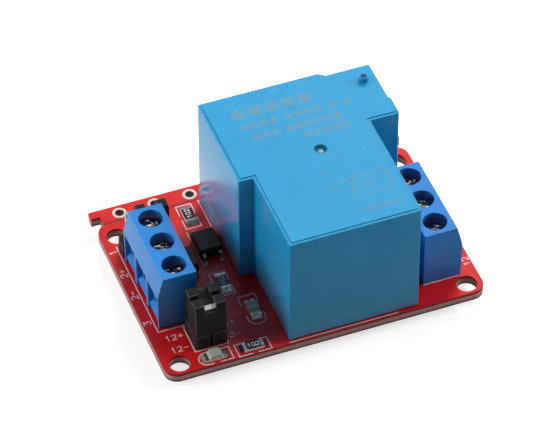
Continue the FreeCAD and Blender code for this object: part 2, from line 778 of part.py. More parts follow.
def chip_core(x, y, turn, thickness):
    """Chip body, thinner under its end caps."""
    inner_half = chip_length / 2 - chip_cap_length
    ends = box(x - chip_length / 2 + chip_cap_wall, x + chip_length / 2 - chip_cap_wall,
               y - chip_width / 2, y + chip_width / 2, chip_cap_wall, thickness - chip_cap_wall)
    middle = box(x - inner_half, x + inner_half, y - chip_width / 2, y + chip_width / 2,
                 chip_standoff, thickness)
    return along(x, y, turn, join([ends, middle]))


def led_lens(x, y, turn):
    """Clear lens with sloped ends on top of the chip body."""
    half = led_lens_length / 2
    top = led_thickness + led_lens_height
    near = y - chip_width / 2
    side = [(x - half, near, led_thickness), (x + half, near, led_thickness),
            (x + half - led_lens_slant, near, top), (x - half + led_lens_slant, near, top)]
    return along(x, y, turn, prism(side, (0, chip_width, 0)))


resistor_places = [(front_resistor_x, front_resistor_y, 0), (side_resistor_x, middle_resistor_y, 90),
                   (side_resistor_x, rear_resistor_y, 90)]
resistor_cores = []
resistor_caps = []
for chip_x, chip_y, chip_turn in resistor_places:
    resistor_cores.append(chip_core(chip_x, chip_y, chip_turn, resistor_thickness))
    resistor_caps += chip_caps(chip_x, chip_y, chip_turn, resistor_thickness)
    chip_fillet_pair(chip_x, chip_y, chip_turn, chip_solder_height)
save_group("resistor_bodies", resistor_cores)
save_group("resistor_end_caps", resistor_caps)

for led_name, led_x, led_y, led_turn in (("power", power_led_x, power_led_y, 0),
                                         ("relay", relay_led_x, relay_led_y, 90)):
    save(led_name + "_led_base", chip_core(led_x, led_y, led_turn, led_thickness))
    save(led_name + "_led_lens", led_lens(led_x, led_y, led_turn))
    save_group(led_name + "_led_end_caps", chip_caps(led_x, led_y, led_turn, led_thickness))
    chip_fillet_pair(led_x, led_y, led_turn, chip_solder_height)


def moulded_body(x, y, width, length, low, high, taper):
    """Moulded package whose side walls lean in above and below the leads."""
    middle = (low + high) / 2
    half_w = width / 2
    half_l = length / 2
    lower = Part.makeLoft([rectangle(x, y, half_w - taper, half_l - taper, low),
                           rectangle(x, y, half_w, half_l, middle)], True, True)
    upper = Part.makeLoft([rectangle(x, y, half_w, half_l, middle),
                           rectangle(x, y, half_w - taper, half_l - taper, high)], True, True)
    return lower.fuse(upper)


def rectangle(x, y, half_w, half_l, z):
    """Closed rectangle at one height."""
    corners = [FreeCAD.Vector(x - half_w, y - half_l, z), FreeCAD.Vector(x + half_w, y - half_l, z),
               FreeCAD.Vector(x + half_w, y + half_l, z), FreeCAD.Vector(x - half_w, y + half_l, z)]
    return Part.makePolygon(corners + corners[:1])


def gull_lead(x, y, side, width, thickness, half_length, exit_height, reach, knee_reach):
    """Bent lead from the end wall of a package down to a foot on the board."""
    wall = y + side * half_length
    knee = wall + side * knee_reach
    toe = wall + side * reach
    profile = [(wall, exit_height + thickness), (knee + side * thickness, exit_height + thickness),
               (knee + side * thickness, thickness), (toe, thickness), (toe, 0), (knee, 0),
               (knee, exit_height), (wall, exit_height)]
    return prism([(x - width / 2, py, pz) for py, pz in profile], (width, 0, 0))


save("optocoupler_body", moulded_body(opto_x, opto_y, opto_width, opto_length, package_gap,
                                      opto_height, package_taper))
opto_exit = (package_gap + opto_height) / 2
save_group("optocoupler_leads", [
    gull_lead(opto_x + column * opto_lead_pitch / 2, opto_y, side, opto_lead_width, opto_lead_thickness,
              opto_length / 2, opto_exit, opto_lead_reach, opto_lead_knee)
    for column in (-1, 1) for side in (-1, 1)])

save("flyback_diode_body", moulded_body(driver_x, diode_y, diode_width, diode_length, package_gap,
                                        diode_height, package_taper))
save_group("flyback_diode_leads", [
    gull_lead(driver_x, diode_y, side, diode_lead_width, small_lead_thickness, diode_length / 2,
              (package_gap + diode_height) / 2, small_lead_reach, small_lead_knee) for side in (-1, 1)])

save("driver_transistor_body", moulded_body(driver_x, transistor_y, transistor_length,
                                            transistor_width, package_gap, transistor_height,
                                            package_taper))
transistor_feet = [(-transistor_lead_pitch / 2, -1), (transistor_lead_pitch / 2, -1), (0, 1)]
save_group("driver_transistor_leads", [
    gull_lead(driver_x + shift, transistor_y, side, transistor_lead_width, small_lead_thickness,
              transistor_width / 2, (package_gap + transistor_height) / 2, small_lead_reach,
              small_lead_knee)
    for shift, side in transistor_feet])
save_group("chip_solder", chip_fillets)


# Circuit board, drilled for every lead above

def board_outline():
    """Main board with rounded corners and the break-off strip behind it, parted at both ends by a slot."""
    r = corner_radius
    main = box(0, board_length, 0, board_depth, board_bottom, 0)
    corners = [edge for edge in main.Edges
               if abs(edge.Vertexes[0].Z - edge.Vertexes[-1].Z) > board_thickness / 2]
    main = main.makeFillet(r, corners)
    slot_back = board_depth + end_slot_width
    neck = box(end_slot_length, board_length - end_slot_length, board_depth - r, slot_back, board_bottom, 0)
    strip = box(0, board_length, slot_back, board_full_depth, board_bottom, 0)
    return join([main, neck, strip])


def snap_groove(z, direction):
    """V groove across the full length at the snap line."""
    half = snap_groove_width / 2
    return prism([(0, board_depth - half, z), (0, board_depth + half, z),
                  (0, board_depth, z + direction * snap_groove_depth)], (board_length, 0, 0))


mount_holes = [(x, y) for x in (mount_inset_x, board_length - mount_inset_x)
               for y in (mount_inset_front, board_depth - mount_inset_back)]
strip_hole_y = board_full_depth - strip_hole_back_inset
strip_hole_pitch = (board_length - strip_hole_first_inset - strip_hole_last_inset) / (strip_hole_count - 1)
strip_holes = [(strip_hole_first_inset + step * strip_hole_pitch, strip_hole_y)
               for step in range(strip_hole_count)]
barrel_radius = strip_hole_radius + plating_wall
drilled = [rod(x, y, mount_hole_radius, board_bottom, 0) for x, y in mount_holes]
drilled += [small_round(x, y, barrel_radius, barrel_radius, board_bottom, 0) for x, y in strip_holes]
drilled += [small_round(x, y, radius, radius, board_bottom, 0) for x, y, radius in hole_list]
grooves = [snap_groove(0, -1), snap_groove(board_bottom, 1)]
save("circuit_board", board_outline().cut(Part.makeCompound(drilled + grooves)))

rings = []
for ring_x, ring_y in strip_holes:
    outer = strip_hole_radius + ring_width
    eyelet = join([small_round(ring_x, ring_y, outer, outer, 0, ring_thickness),
                   small_round(ring_x, ring_y, barrel_radius, barrel_radius, board_bottom, 0),
                   small_round(ring_x, ring_y, outer, outer, board_bottom - ring_thickness, board_bottom)])
    rings.append(eyelet.cut(small_round(ring_x, ring_y, strip_hole_radius, strip_hole_radius,
                                        board_bottom - ring_thickness, ring_thickness)))
save_group("strip_eyelets", rings)

save_group("solder_joints", [solder_joint(*place) for place in solder_list])
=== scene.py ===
import bmesh
import bpy
import math
import numpy as np
from mathutils import Matrix, Vector


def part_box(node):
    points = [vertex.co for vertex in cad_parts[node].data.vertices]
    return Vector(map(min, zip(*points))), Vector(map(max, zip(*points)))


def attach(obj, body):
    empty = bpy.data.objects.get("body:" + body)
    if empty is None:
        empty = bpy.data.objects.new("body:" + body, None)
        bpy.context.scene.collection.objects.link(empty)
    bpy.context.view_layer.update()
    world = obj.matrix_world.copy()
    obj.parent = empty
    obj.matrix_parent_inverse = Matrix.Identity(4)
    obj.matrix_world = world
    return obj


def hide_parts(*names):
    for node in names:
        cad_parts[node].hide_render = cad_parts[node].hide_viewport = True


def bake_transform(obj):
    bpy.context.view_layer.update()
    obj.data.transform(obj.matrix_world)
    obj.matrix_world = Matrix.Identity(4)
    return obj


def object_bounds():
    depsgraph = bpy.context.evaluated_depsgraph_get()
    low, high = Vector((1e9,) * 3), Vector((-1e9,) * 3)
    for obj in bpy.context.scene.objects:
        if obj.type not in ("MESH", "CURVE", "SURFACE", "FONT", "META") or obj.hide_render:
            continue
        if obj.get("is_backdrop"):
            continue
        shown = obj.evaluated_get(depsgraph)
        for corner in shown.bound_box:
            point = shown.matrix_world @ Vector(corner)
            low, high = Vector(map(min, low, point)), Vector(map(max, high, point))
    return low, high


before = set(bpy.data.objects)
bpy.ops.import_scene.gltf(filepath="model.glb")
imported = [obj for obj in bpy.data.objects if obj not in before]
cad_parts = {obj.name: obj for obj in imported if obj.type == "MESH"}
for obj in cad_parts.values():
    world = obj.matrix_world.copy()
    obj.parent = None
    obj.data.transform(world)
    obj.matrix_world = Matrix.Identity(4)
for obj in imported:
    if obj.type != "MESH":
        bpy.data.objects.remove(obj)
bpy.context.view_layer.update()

# Camera
# A long lens looks down on the board from its front left corner, as in the photograph.
# The picture is 547 x 427 pixels, its long side on a sensor of 36 mm.
sensor_width = 36
focal_length = 250.2
azimuth = math.radians(-20.779)
elevation = math.radians(44.934)
roll = math.radians(-0.065)
eye_distance = 0.5713801
eye_shift_right = -0.0056201
eye_shift_up = -0.000392
aim = Vector((0.00475, 0.001875, 0.008))
back = Vector((math.sin(azimuth) * math.cos(elevation), -math.cos(azimuth) * math.cos(elevation),
               math.sin(elevation)))
level = Vector((math.cos(azimuth), math.sin(azimuth), 0))
rise = back.cross(level)
eye = aim + back * eye_distance + level * eye_shift_right + rise * eye_shift_up
right = level * math.cos(roll) + rise * math.sin(roll)
up = rise * math.cos(roll) - level * math.sin(roll)
lens = bpy.data.cameras.new("camera")
lens.sensor_width = sensor_width
lens.lens = focal_length
lens.clip_start = 0.05
lens.clip_end = 20
camera = bpy.data.objects.new("camera", lens)
camera.matrix_world = Matrix((right, up, back)).transposed().to_4x4()
camera.location = eye
bpy.context.scene.collection.objects.link(camera)
bpy.context.scene.camera = camera


# Circuit board
# Woven glass and epoxy laminate 1.6 mm thick, routed to shape and drilled, with red gloss lacquer on both
# faces. The lacquer leaves the sawn edges bare, so the tan laminate shows there and in the holes.
MM = 0.001
board_low, board_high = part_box("circuit_board")
corner = np.array((board_low.x, board_low.y, board_high.z))
lacquer_red = "#DC1C1C"
lacquer_dark = "#C51416"
laminate_tan = "#B08F88"
laminate_edge = "#DFAAA6"
weave_pitch = 0.6 * MM
# Up the sawn edge: a dark line at the foot, which is painted shade, pale scraped laminate, and lacquer that
# ran over the rim.
edge_layers_and_foot_shade = ((0.0, "#3A3230"), (0.13, "#5C4C48"), (0.22, laminate_tan), (0.62, laminate_edge),
               (0.7, "#B23A3A"), (1.0, "#A61418"))


def linear(code):
    """Linear colour of an sRGB hex code: a channel c becomes ((c + 0.055) / 1.055) ** 2.4, or c / 12.92."""
    parts = np.array([int(code[i:i + 2], 16) / 255 for i in (1, 3, 5)])
    parts = np.where(parts > 0.04045, ((parts + 0.055) / 1.055) ** 2.4, parts / 12.92)
    return (*parts, 1.0)


def add(tree, kind, settings=(), links=()):
    """Adds a node, sets its properties or sockets by name or number, and links other nodes' outputs to it."""
    made = tree.nodes.new(kind)
    for key, value in dict(settings).items():
        if isinstance(key, str) and hasattr(made, key):
            setattr(made, key, value)
        else:
            made.inputs[key].default_value = value
    for key, source in dict(links).items():
        tree.links.new(source, made.inputs[key])
    return made


def finish_named(name, roughness, ior=1.5, metallic=0.0, colour=None, specular=0.5):
    """New material, its tree, its surface shader, and the place on the object that its pattern reads. The
    caller adds the nodes of the pattern."""
    made = bpy.data.materials.new(name)
    made.use_nodes = True
    tree = made.node_tree
    tree.nodes.clear()
    shader = add(tree, "ShaderNodeBsdfPrincipled", {"Roughness": roughness, "Metallic": metallic, "IOR": ior,
                                                    "Specular IOR Level": specular})
    if colour:
        shader.inputs["Base Color"].default_value = linear(colour)
    add(tree, "ShaderNodeOutputMaterial", links={"Surface": shader.outputs[0]})
    return made, tree, shader, add(tree, "ShaderNodeTexCoord").outputs["Object"]


def upward(tree):
    """How far each face looks up: 1 for a top, 0 for a wall and -1 for an underside."""
    normal = add(tree, "ShaderNodeNewGeometry").outputs["Normal"]
    return add(tree, "ShaderNodeSeparateXYZ", links={0: normal}).outputs["Z"]


def wear(node, material):
    """Gives a CAD node's object one material."""
    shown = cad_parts[node]
    shown.data.materials.clear()
    shown.data.materials.append(material)


board_finish, tree, shader, place = finish_named("red lacquer on glass laminate", 0.32, ior=1.52)
flat = add(tree, "ShaderNodeMath", {"operation": "ABSOLUTE"}, {0: upward(tree)})
lacquered = add(tree, "ShaderNodeMath", {"operation": "GREATER_THAN", 1: 0.8}, {0: flat.outputs[0]})
# The glass weave shows faintly through the lacquer as crossed waves. They are drawn coarser than the real
# weave: with this scale a wave is 2 pi times the pitch of the threads, 3.8 mm.
waves = [add(tree, "ShaderNodeTexWave", {"wave_type": "BANDS", "bands_direction": way,
                                         "Scale": 1 / (weave_pitch * 20), "Distortion": 0.6, "Detail": 1.0},
             {"Vector": place}) for way in ("X", "Y")]
weave = add(tree, "ShaderNodeMath", {"operation": "MULTIPLY"},
            {0: waves[0].outputs["Fac"], 1: waves[1].outputs["Fac"]})
# The lacquer's depth varies in clouds about 7 mm wide.
cloud = add(tree, "ShaderNodeTexNoise", {"Scale": 0.14 / MM, "Detail": 3.0}, {"Vector": place})
mottle = add(tree, "ShaderNodeMath", {"operation": "MULTIPLY_ADD", 1: 0.35, 2: 0.35},
             {0: cloud.outputs["Fac"]})
tint = add(tree, "ShaderNodeMath", {"operation": "MULTIPLY_ADD", 1: 0.22},
           {0: weave.outputs[0], 2: mottle.outputs[0]})
red = add(tree, "ShaderNodeMix", {"data_type": "RGBA", 6: linear(lacquer_red), 7: linear(lacquer_dark)},
          {0: tint.outputs[0]})
height = add(tree, "ShaderNodeSeparateXYZ", links={0: place}).outputs["Z"]
depth = add(tree, "ShaderNodeMapRange", {"From Min": board_low.z, "From Max": board_high.z}, {0: height})
# The ramp's dark foot is painted shade under the edge.
layers = add(tree, "ShaderNodeValToRGB", links={0: depth.outputs[0]})
ramp = layers.color_ramp
ramp.elements[0].color = linear(edge_layers_and_foot_shade[0][1])
ramp.elements[-1].color = linear(edge_layers_and_foot_shade[-1][1])
for stop, code in edge_layers_and_foot_shade[1:-1]:
    ramp.elements.new(stop).color = linear(code)
fibre = add(tree, "ShaderNodeTexNoise", {"Scale": 1.6 / MM, "Detail": 2.0}, {"Vector": place})
frayed = add(tree, "ShaderNodeMix", {"data_type": "RGBA", "blend_type": "MULTIPLY", 0: 0.35},
             {6: layers.outputs[0], 7: fibre.outputs["Color"]})
skin = add(tree, "ShaderNodeMix", {"data_type": "RGBA"},
           {0: lacquered.outputs[0], 6: frayed.outputs[2], 7: red.outputs[2]})
# The slanted walls of the snap line were scored after lacquering, so they are scraped pale.
scored = add(tree, "ShaderNodeMath", {"operation": "COMPARE", 1: 0.53, 2: 0.1}, {0: flat.outputs[0]})
faces = add(tree, "ShaderNodeMix", {"data_type": "RGBA", 7: linear("#D87068")},
            {0: scored.outputs[0], 6: skin.outputs[2]})
tree.links.new(faces.outputs[2], shader.inputs["Base Color"])
gloss = add(tree, "ShaderNodeMapRange", {"To Min": 0.75, "To Max": 0.30}, {0: lacquered.outputs[0]})
tree.links.new(gloss.outputs[0], shader.inputs["Roughness"])
ripple = add(tree, "ShaderNodeBump", {"Strength": 0.12, "Distance": 0.02 * MM}, {"Height": weave.outputs[0]})
tree.links.new(ripple.outputs[0], shader.inputs["Normal"])
wear("circuit_board", board_finish)


# Printed legend
# White epoxy ink, screened on the lacquer as low flat strips with round ends: outlines of the parts, and
# plain signs and numerals. Its places and widths are in millimetres from the board's front left corner.
ink_width = 0.16
sign_width = 0.13
ink_height = 0.012
sign_height = 1.0
sign_step = 0.95
mitre_limit = 0.35
STROKES = {
    "0": [[(0, 0.2), (0, 0.8), (0.2, 1), (0.45, 1), (0.65, 0.8), (0.65, 0.2), (0.45, 0), (0.2, 0), (0, 0.2)]],
    "1": [[(0.1, 0.75), (0.35, 1), (0.35, 0)]],
    "2": [[(0, 0.8), (0.2, 1), (0.45, 1), (0.65, 0.8), (0.65, 0.6), (0, 0), (0.65, 0)]],
    "3": [[(0, 1), (0.65, 1), (0.3, 0.6), (0.55, 0.55), (0.65, 0.3), (0.45, 0), (0.15, 0), (0, 0.15)]],
    "4": [[(0.5, 0), (0.5, 1)], [(0.45, 0.95), (0, 0.3), (0.65, 0.3)]],
    "+": [[(0.05, 0.5), (0.65, 0.5)], [(0.35, 0.2), (0.35, 0.8)]],
    "-": [[(0.05, 0.5), (0.65, 0.5)]]}


def signs(text, x, y, turn=0.0, size=sign_height):
    """Paths of a row of signs that starts at x, y and runs in the direction of turn, in degrees."""
    along = np.array((math.cos(math.radians(turn)), math.sin(math.radians(turn))))
    across = np.array((-along[1], along[0]))
    paths = []
    for step, sign in enumerate(text):
        for stroke in STROKES[sign]:
            points = np.array(stroke) * size
            paths.append(np.array((x, y)) + np.outer(points[:, 0] + step * sign_step * size, along)
                         + np.outer(points[:, 1], across))
    return paths


def line(path, width, base, thickness, closed=False):
    """Flat strip carried along a path: each corner moves out by half the width along its mitre, and at an
    open end the half-width follows a half circle, r * sin(a), while the strip goes on by r * (1 - cos(a))."""
    points = np.asarray(path, float)
    half = np.full(len(points), width / 2)
    if closed:
        before, after = np.roll(points, 1, axis=0), np.roll(points, -1, axis=0)
    else:
        turn = np.linspace(0, math.pi / 2, 5)
        first = (points[1] - points[0]) / np.linalg.norm(points[1] - points[0])
        last = (points[-1] - points[-2]) / np.linalg.norm(points[-1] - points[-2])
        head = points[0] - np.outer(np.cos(turn), first) * width / 2
        tail = points[-1] + np.outer(np.cos(turn[::-1]), last) * width / 2
        points = np.vstack([head, points[1:-1], tail])
        half = np.concatenate([np.sin(turn), np.ones(len(path) - 2), np.sin(turn[::-1])]) * width / 2
        before = np.vstack([points[:1] - first, points[:-1]])
        after = np.vstack([points[1:], points[-1:] + last])
    arrive, leave = points - before, after - points
    arrive /= np.linalg.norm(arrive, axis=1)[:, None]
    leave /= np.linalg.norm(leave, axis=1)[:, None]
    mitre = arrive + leave
    mitre = np.stack([-mitre[:, 1], mitre[:, 0]], axis=1) / np.linalg.norm(mitre, axis=1)[:, None]
    square_on = (mitre * np.stack([-leave[:, 1], leave[:, 0]], axis=1)).sum(axis=1)
    side = mitre * (half * (1 / np.clip(square_on, mitre_limit, 1)))[:, None]
    low, high = np.full(len(points), base), np.full(len(points), base + thickness)
    rows = np.stack([np.column_stack([points + side, low]), np.column_stack([points + side, high]),
                     np.column_stack([points - side, high]), np.column_stack([points - side, low])], axis=1)
    return corner + rows * MM, closed, True


def grid_faces(rows, columns, wrap_rows, wrap_columns):
    """Quads of a grid of rows by columns points, closed round on itself where asked."""
    i, j = np.meshgrid(np.arange(rows if wrap_rows else rows - 1),
                       np.arange(columns if wrap_columns else columns - 1), indexing="ij")
    i, j = i.ravel(), j.ravel()
    k, m = (i + 1) % rows, (j + 1) % columns
    return np.stack([i * columns + j, i * columns + m, k * columns + m, k * columns + j], axis=1)


def surface_piece(name, sheets, material, body, smooth=30.0):
    """One piece from several grids of points, each a tuple of points, wrap along rows and wrap along columns.
    It is smooth apart from edges sharper than an angle in degrees. It rides on its body; a piece that bends
    between two bodies has none."""
    points, faces, count = [], [], 0
    for rows, wrap_rows, wrap_columns in sheets:
        points.append(rows.reshape(-1, 3))
        faces.append(grid_faces(rows.shape[0], rows.shape[1], wrap_rows, wrap_columns) + count)
        count += len(points[-1])
    mesh = bpy.data.meshes.new(name)
    mesh.from_pydata(np.vstack(points).tolist(), [], np.vstack(faces).tolist())
    merged = bmesh.new()
    merged.from_mesh(mesh)
    bmesh.ops.remove_doubles(merged, verts=merged.verts, dist=2e-7)
    bmesh.ops.dissolve_degenerate(merged, edges=merged.edges, dist=1e-8)
    bmesh.ops.recalc_face_normals(merged, faces=merged.faces)
    merged.to_mesh(mesh)
    merged.free()
    mesh.materials.append(material)
    mesh.shade_smooth()
    mesh.set_sharp_from_angle(angle=math.radians(smooth))
    made = bpy.data.objects.new(name, mesh)
    bpy.context.scene.collection.objects.link(made)
    if body:
        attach(made, body)
    return made


def arc(x, y, radius, start, end, steps=9):
    """Points of an arc between two angles in degrees."""
    turn = np.radians(np.linspace(start, end, steps))
    return np.stack([x + radius * np.cos(turn), y + radius * np.sin(turn)], axis=1)


def with_gaps(x0, x1, y0, y1, gap0, gap1, upright):
    """Outline of a chip part: two brackets with a gap between them in both long sides."""
    if upright:
        return [[(x0, gap0), (x0, y0), (x1, y0), (x1, gap0)], [(x0, gap1), (x0, y1), (x1, y1), (x1, gap1)]]
    return [[(gap0, y0), (x0, y0), (x0, y1), (gap0, y1)], [(gap1, y0), (x1, y0), (x1, y1), (gap1, y1)]]


open_lines = with_gaps(11.14, 16.2, 0.1, 2.55, 13.2, 14.15, False)
open_lines += with_gaps(12.82, 15.25, 27.65, 32.7, 29.7, 30.65, True)
open_lines += with_gaps(12.65, 15.1, 12.65, 17.5, 14.6, 15.55, True)
open_lines += [[(7.2, 0.25), *arc(6.5, 1.475, 1.225, 270, 90), (10.28, 2.7), (10.28, 0.25), (8.25, 0.25)],
               [(14.95, 9.75), (14.95, 11.5), (17.65, 11.5), (17.65, 9.75)],
               [(14.95, 7.5), *arc(16.3, 6.7, 1.35, 180, 360), (17.65, 7.5)],
               [(1.62, 27.9), (1.62, 9.02), (8.9, 9.02)],
               [(12.6, 19.2), (12.6, 26.9)],
               [(41.9, 4.05), (47.6, 4.05)],
               [(19.0, 0.2), (36.2, 0.2)],
               [(16.55, 26.7), (16.55, 32.95)]]
closed_line = [(5.41, 3.36), (10.6, 3.36), (10.6, 8.7), (5.41, 8.7)]
sign_paths = []
for text, x, y, turn in (("1", 1.25, 26.6, 90), ("2+", 1.25, 21.4, 90), ("2-", 1.25, 16.6, 90),
                         ("3", 1.25, 11.0, 90), ("12+", 2.2, 6.75, 0), ("12-", 2.2, 4.25, 0),
                         ("3+", 11.2, 6.75, 0), ("3-", 11.3, 4.25, 0), ("12", 50.25, 5.6, 90),
                         ("3", 50.25, 10.7, 90), ("4", 50.25, 15.8, 90)):
    sign_paths += signs(text, x, y, turn)

ink, tree, shader, place = finish_named("white screened epoxy ink", 0.55)
# The red shows through where the ink is thin, in patches of about 0.4 mm.
thin = add(tree, "ShaderNodeTexNoise", {"Scale": 2.5 / MM, "Detail": 2.0}, {"Vector": place})
shade = add(tree, "ShaderNodeMapRange", {"From Min": 0.35, "From Max": 0.75, "To Max": 0.45},
            {0: thin.outputs["Fac"]})
legend = add(tree, "ShaderNodeMix", {"data_type": "RGBA", 6: linear("#EFE6E4"), 7: linear("#D98F8F")},
             {0: shade.outputs[0]})
tree.links.new(legend.outputs[2], shader.inputs["Base Color"])
strips = [line(path, ink_width, 0.0, ink_height) for path in open_lines]
# Strokes that cross are at different heights, so that no two top faces are in one plane.
strips += [line(path, sign_width, 0.0, ink_height * (1 + order % 3 / 4))
           for order, path in enumerate(sign_paths)]
strips.append(line(closed_line, ink_width, 0.0, ink_height, closed=True))
surface_piece("board_legend", strips, ink, "board")


# Leads under the board
# Every lead ends in a fillet of tin solder on its round pad. The solder ran in molten and wetted the lead,
# so it rises up the lead in a hollow cone.
solder_skin = 0.12 * MM
solder_hollow = 2.4
pad_reach = 1.3 * MM
tip_depth = 0.01 * MM
lead_nodes = ("input_terminal_cages", "output_terminal_cages", "selector_header_pins", "trigger_header_pins",
              "relay_open_contact", "relay_closed_contact", "relay_common_contact", "relay_coil_pins")


def points_of(mesh):
    """Points of a mesh, one row of x, y and z each."""
    points = np.empty(len(mesh.vertices) * 3, np.float32)
    mesh.vertices.foreach_get("co", points)
    return points.reshape(-1, 3)


def solids_of(node):
    """Lowest and highest corner of each separate solid in a node: every point takes the lowest label in its
    triangles until no label changes."""
    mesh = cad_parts[node].data
    ends = np.empty(len(mesh.loops), np.int32)
    mesh.loops.foreach_get("vertex_index", ends)
    kept, same = np.unique(np.round(points_of(mesh), 6), axis=0, return_inverse=True)
    triangles = same.ravel()[ends].reshape(-1, 3)
    label = np.arange(len(kept))
    while True:
        lower = label.copy()
        np.minimum.at(lower, triangles.ravel(), np.repeat(label[triangles].min(axis=1), 3))
        if np.array_equal(lower, label):
            break
        label = lower
    return [(kept[label == mark].min(axis=0), kept[label == mark].max(axis=0)) for mark in np.unique(label)]


def fillet(low, high):
    """Hollow cone under a lead: at share t from the pad the section is an ellipse whose half-axes fall from
    the pad radius to the lead's half-sides plus a skin, by (1 - t) to the power of the hollow."""
    middle = (low + high) / 2
    near = lead_tips[np.hypot(lead_tips[:, 0] - middle[0], lead_tips[:, 1] - middle[1]) < pad_reach]
    lead_half = (near.max(axis=0) - near.min(axis=0))[:2] / 2
    pad = (high[0] - low[0]) / 2
    share = np.array([0.0, 0.0, 0.03, 0.1, 0.2, 0.35, 0.55, 0.8, 1.0, 1.0])
    tight = np.array([0.0, 1.0, 1.0, 1.0, 1.0, 1.0, 1.0, 1.0, 1.0, 0.0])
    turn = np.linspace(0, 2 * math.pi, 24, endpoint=False)
    fall = (1 - share) ** solder_hollow
    foot = np.outer(1 - fall, lead_half + solder_skin) + (fall * pad)[:, None]
    section = foot * tight[:, None]
    x = middle[0] + np.outer(section[:, 0], np.cos(turn))
    y = middle[1] + np.outer(section[:, 1], np.sin(turn))
    z = np.repeat((high[2] - share * (high[2] - low[2]))[:, None], len(turn), axis=1)
    return np.stack([x, y, z], axis=2), False, True


def speckled(name, roughness, grains, codes=None, relief=None, gloss=None, detail=3.0, ragged=0.5,
             **settings):
    """Finish with one noise of so many grains per millimetre. It mixes two colour codes, raises a relief,
    given as a strength and a depth in millimetres, and varies the roughness between the values of gloss."""
    made, tree, shader, place = finish_named(name, roughness, **settings)
    noise = add(tree, "ShaderNodeTexNoise", {"Scale": grains / MM, "Detail": detail, "Roughness": ragged},
                {"Vector": place}).outputs["Fac"]
    if codes:
        tone = add(tree, "ShaderNodeMix", {"name": "tones", "data_type": "RGBA", 6: linear(codes[0]),
                                           7: linear(codes[1])}, {0: noise})
        tree.links.new(tone.outputs[2], shader.inputs["Base Color"])
    if relief:
        bump = add(tree, "ShaderNodeBump", {"Strength": relief[0], "Distance": relief[1] * MM},
                   {"Height": noise})
        tree.links.new(bump.outputs[0], shader.inputs["Normal"])
    if gloss:
        dull = add(tree, "ShaderNodeMapRange", {"To Min": gloss[0], "To Max": gloss[1]}, {0: noise})
        tree.links.new(dull.outputs[0], shader.inputs["Roughness"])
    return made, tree, shader, place


lead_points = np.vstack([points_of(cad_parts[node].data) for node in lead_nodes])
lead_tips = lead_points[lead_points[:, 2] < lead_points[:, 2].min() + tip_depth]
# Solder freezes in soft grains of about half a millimetre, some bright and some grey.
tin = speckled("bright tin solder", roughness=0.28, grains=1.8, codes=("#D4D3D0", "#77787C"),
               relief=(0.8, 0.18), gloss=(0.18, 0.42), metallic=1.0)[0]
joints = surface_piece("solder_fillets", [fillet(low, high) for low, high in solids_of("solder_joints")],
                       tin, "board", smooth=50.0)
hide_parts("solder_joints")


# Break-off strip
# Eight plated holes in the strip behind the snap line; each is a tinned tube through the board with a flat
# ring on both faces. The rings keep a pale tin, and the bore walls are painted dark brown as painted shade.
ring_width = 0.45 * MM
ring_rise = 0.05 * MM


def eyelet(low, high):
    """Ring turned about its axis: the profile goes up the bore, out over the top ring, down through the board
    and round the lower ring."""
    middle = (low + high) / 2
    outer = (high[0] - low[0]) / 2
    bore = outer - ring_width
    top, foot, ring = high[2], low[2], ring_rise
    radius = np.array([bore, bore, bore + ring, outer - ring, outer, outer, bore + ring, bore + ring, outer,
                       outer, outer - ring, bore + ring])
    level = np.array([foot + ring, top - ring, top, top, top - ring / 2, top - ring, top - ring, foot + ring,
                      foot + ring, foot + ring / 2, foot, foot])
    turn = np.linspace(0, 2 * math.pi, 32, endpoint=False)
    x = middle[0] + np.outer(radius, np.cos(turn))
    y = middle[1] + np.outer(radius, np.sin(turn))
    z = np.repeat(level[:, None], len(turn), axis=1)
    return np.stack([x, y, z], axis=2), True, True


plating, tree, shader, place = finish_named("tin plating with painted shade in the bores", 0.4)
flat = add(tree, "ShaderNodeMath", {"operation": "ABSOLUTE"}, {0: upward(tree)})
ring_face = add(tree, "ShaderNodeMath", {"operation": "GREATER_THAN", 1: 0.9}, {0: flat.outputs[0]})
stain = add(tree, "ShaderNodeTexNoise", {"Scale": 1.5 / MM, "Detail": 2.0}, {"Vector": place})
ring_tone = add(tree, "ShaderNodeMix", {"data_type": "RGBA", 6: linear("#F3E4E0"), 7: linear("#CDB4AE")},
                {0: stain.outputs["Fac"]})
# Painted shade: the bore walls, which face sideways, are dark brown.
tone = add(tree, "ShaderNodeMix", {"data_type": "RGBA", 6: linear("#5B4640")},
           {0: ring_face.outputs[0], 7: ring_tone.outputs[2]})
tree.links.new(tone.outputs[2], shader.inputs["Base Color"])
eyelets = surface_piece("plated_eyelets", [eyelet(low, high) for low, high in solids_of("strip_eyelets")],
                        plating, "board", smooth=35.0)
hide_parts("strip_eyelets")


# Chip parts
# Three thick-film resistors: a white ceramic block with a black glass top, dipped in tin at both ends.
# Two lamps: a white base with tinned ends under a block of clear, slightly green resin.
value_size = 0.7
value_width = 0.12
value_height = 0.01
value_half_long, value_half_tall = 0.85, 0.35
for node in ("chip_solder", "resistor_end_caps", "power_led_end_caps", "relay_led_end_caps"):
    wear(node, tin)

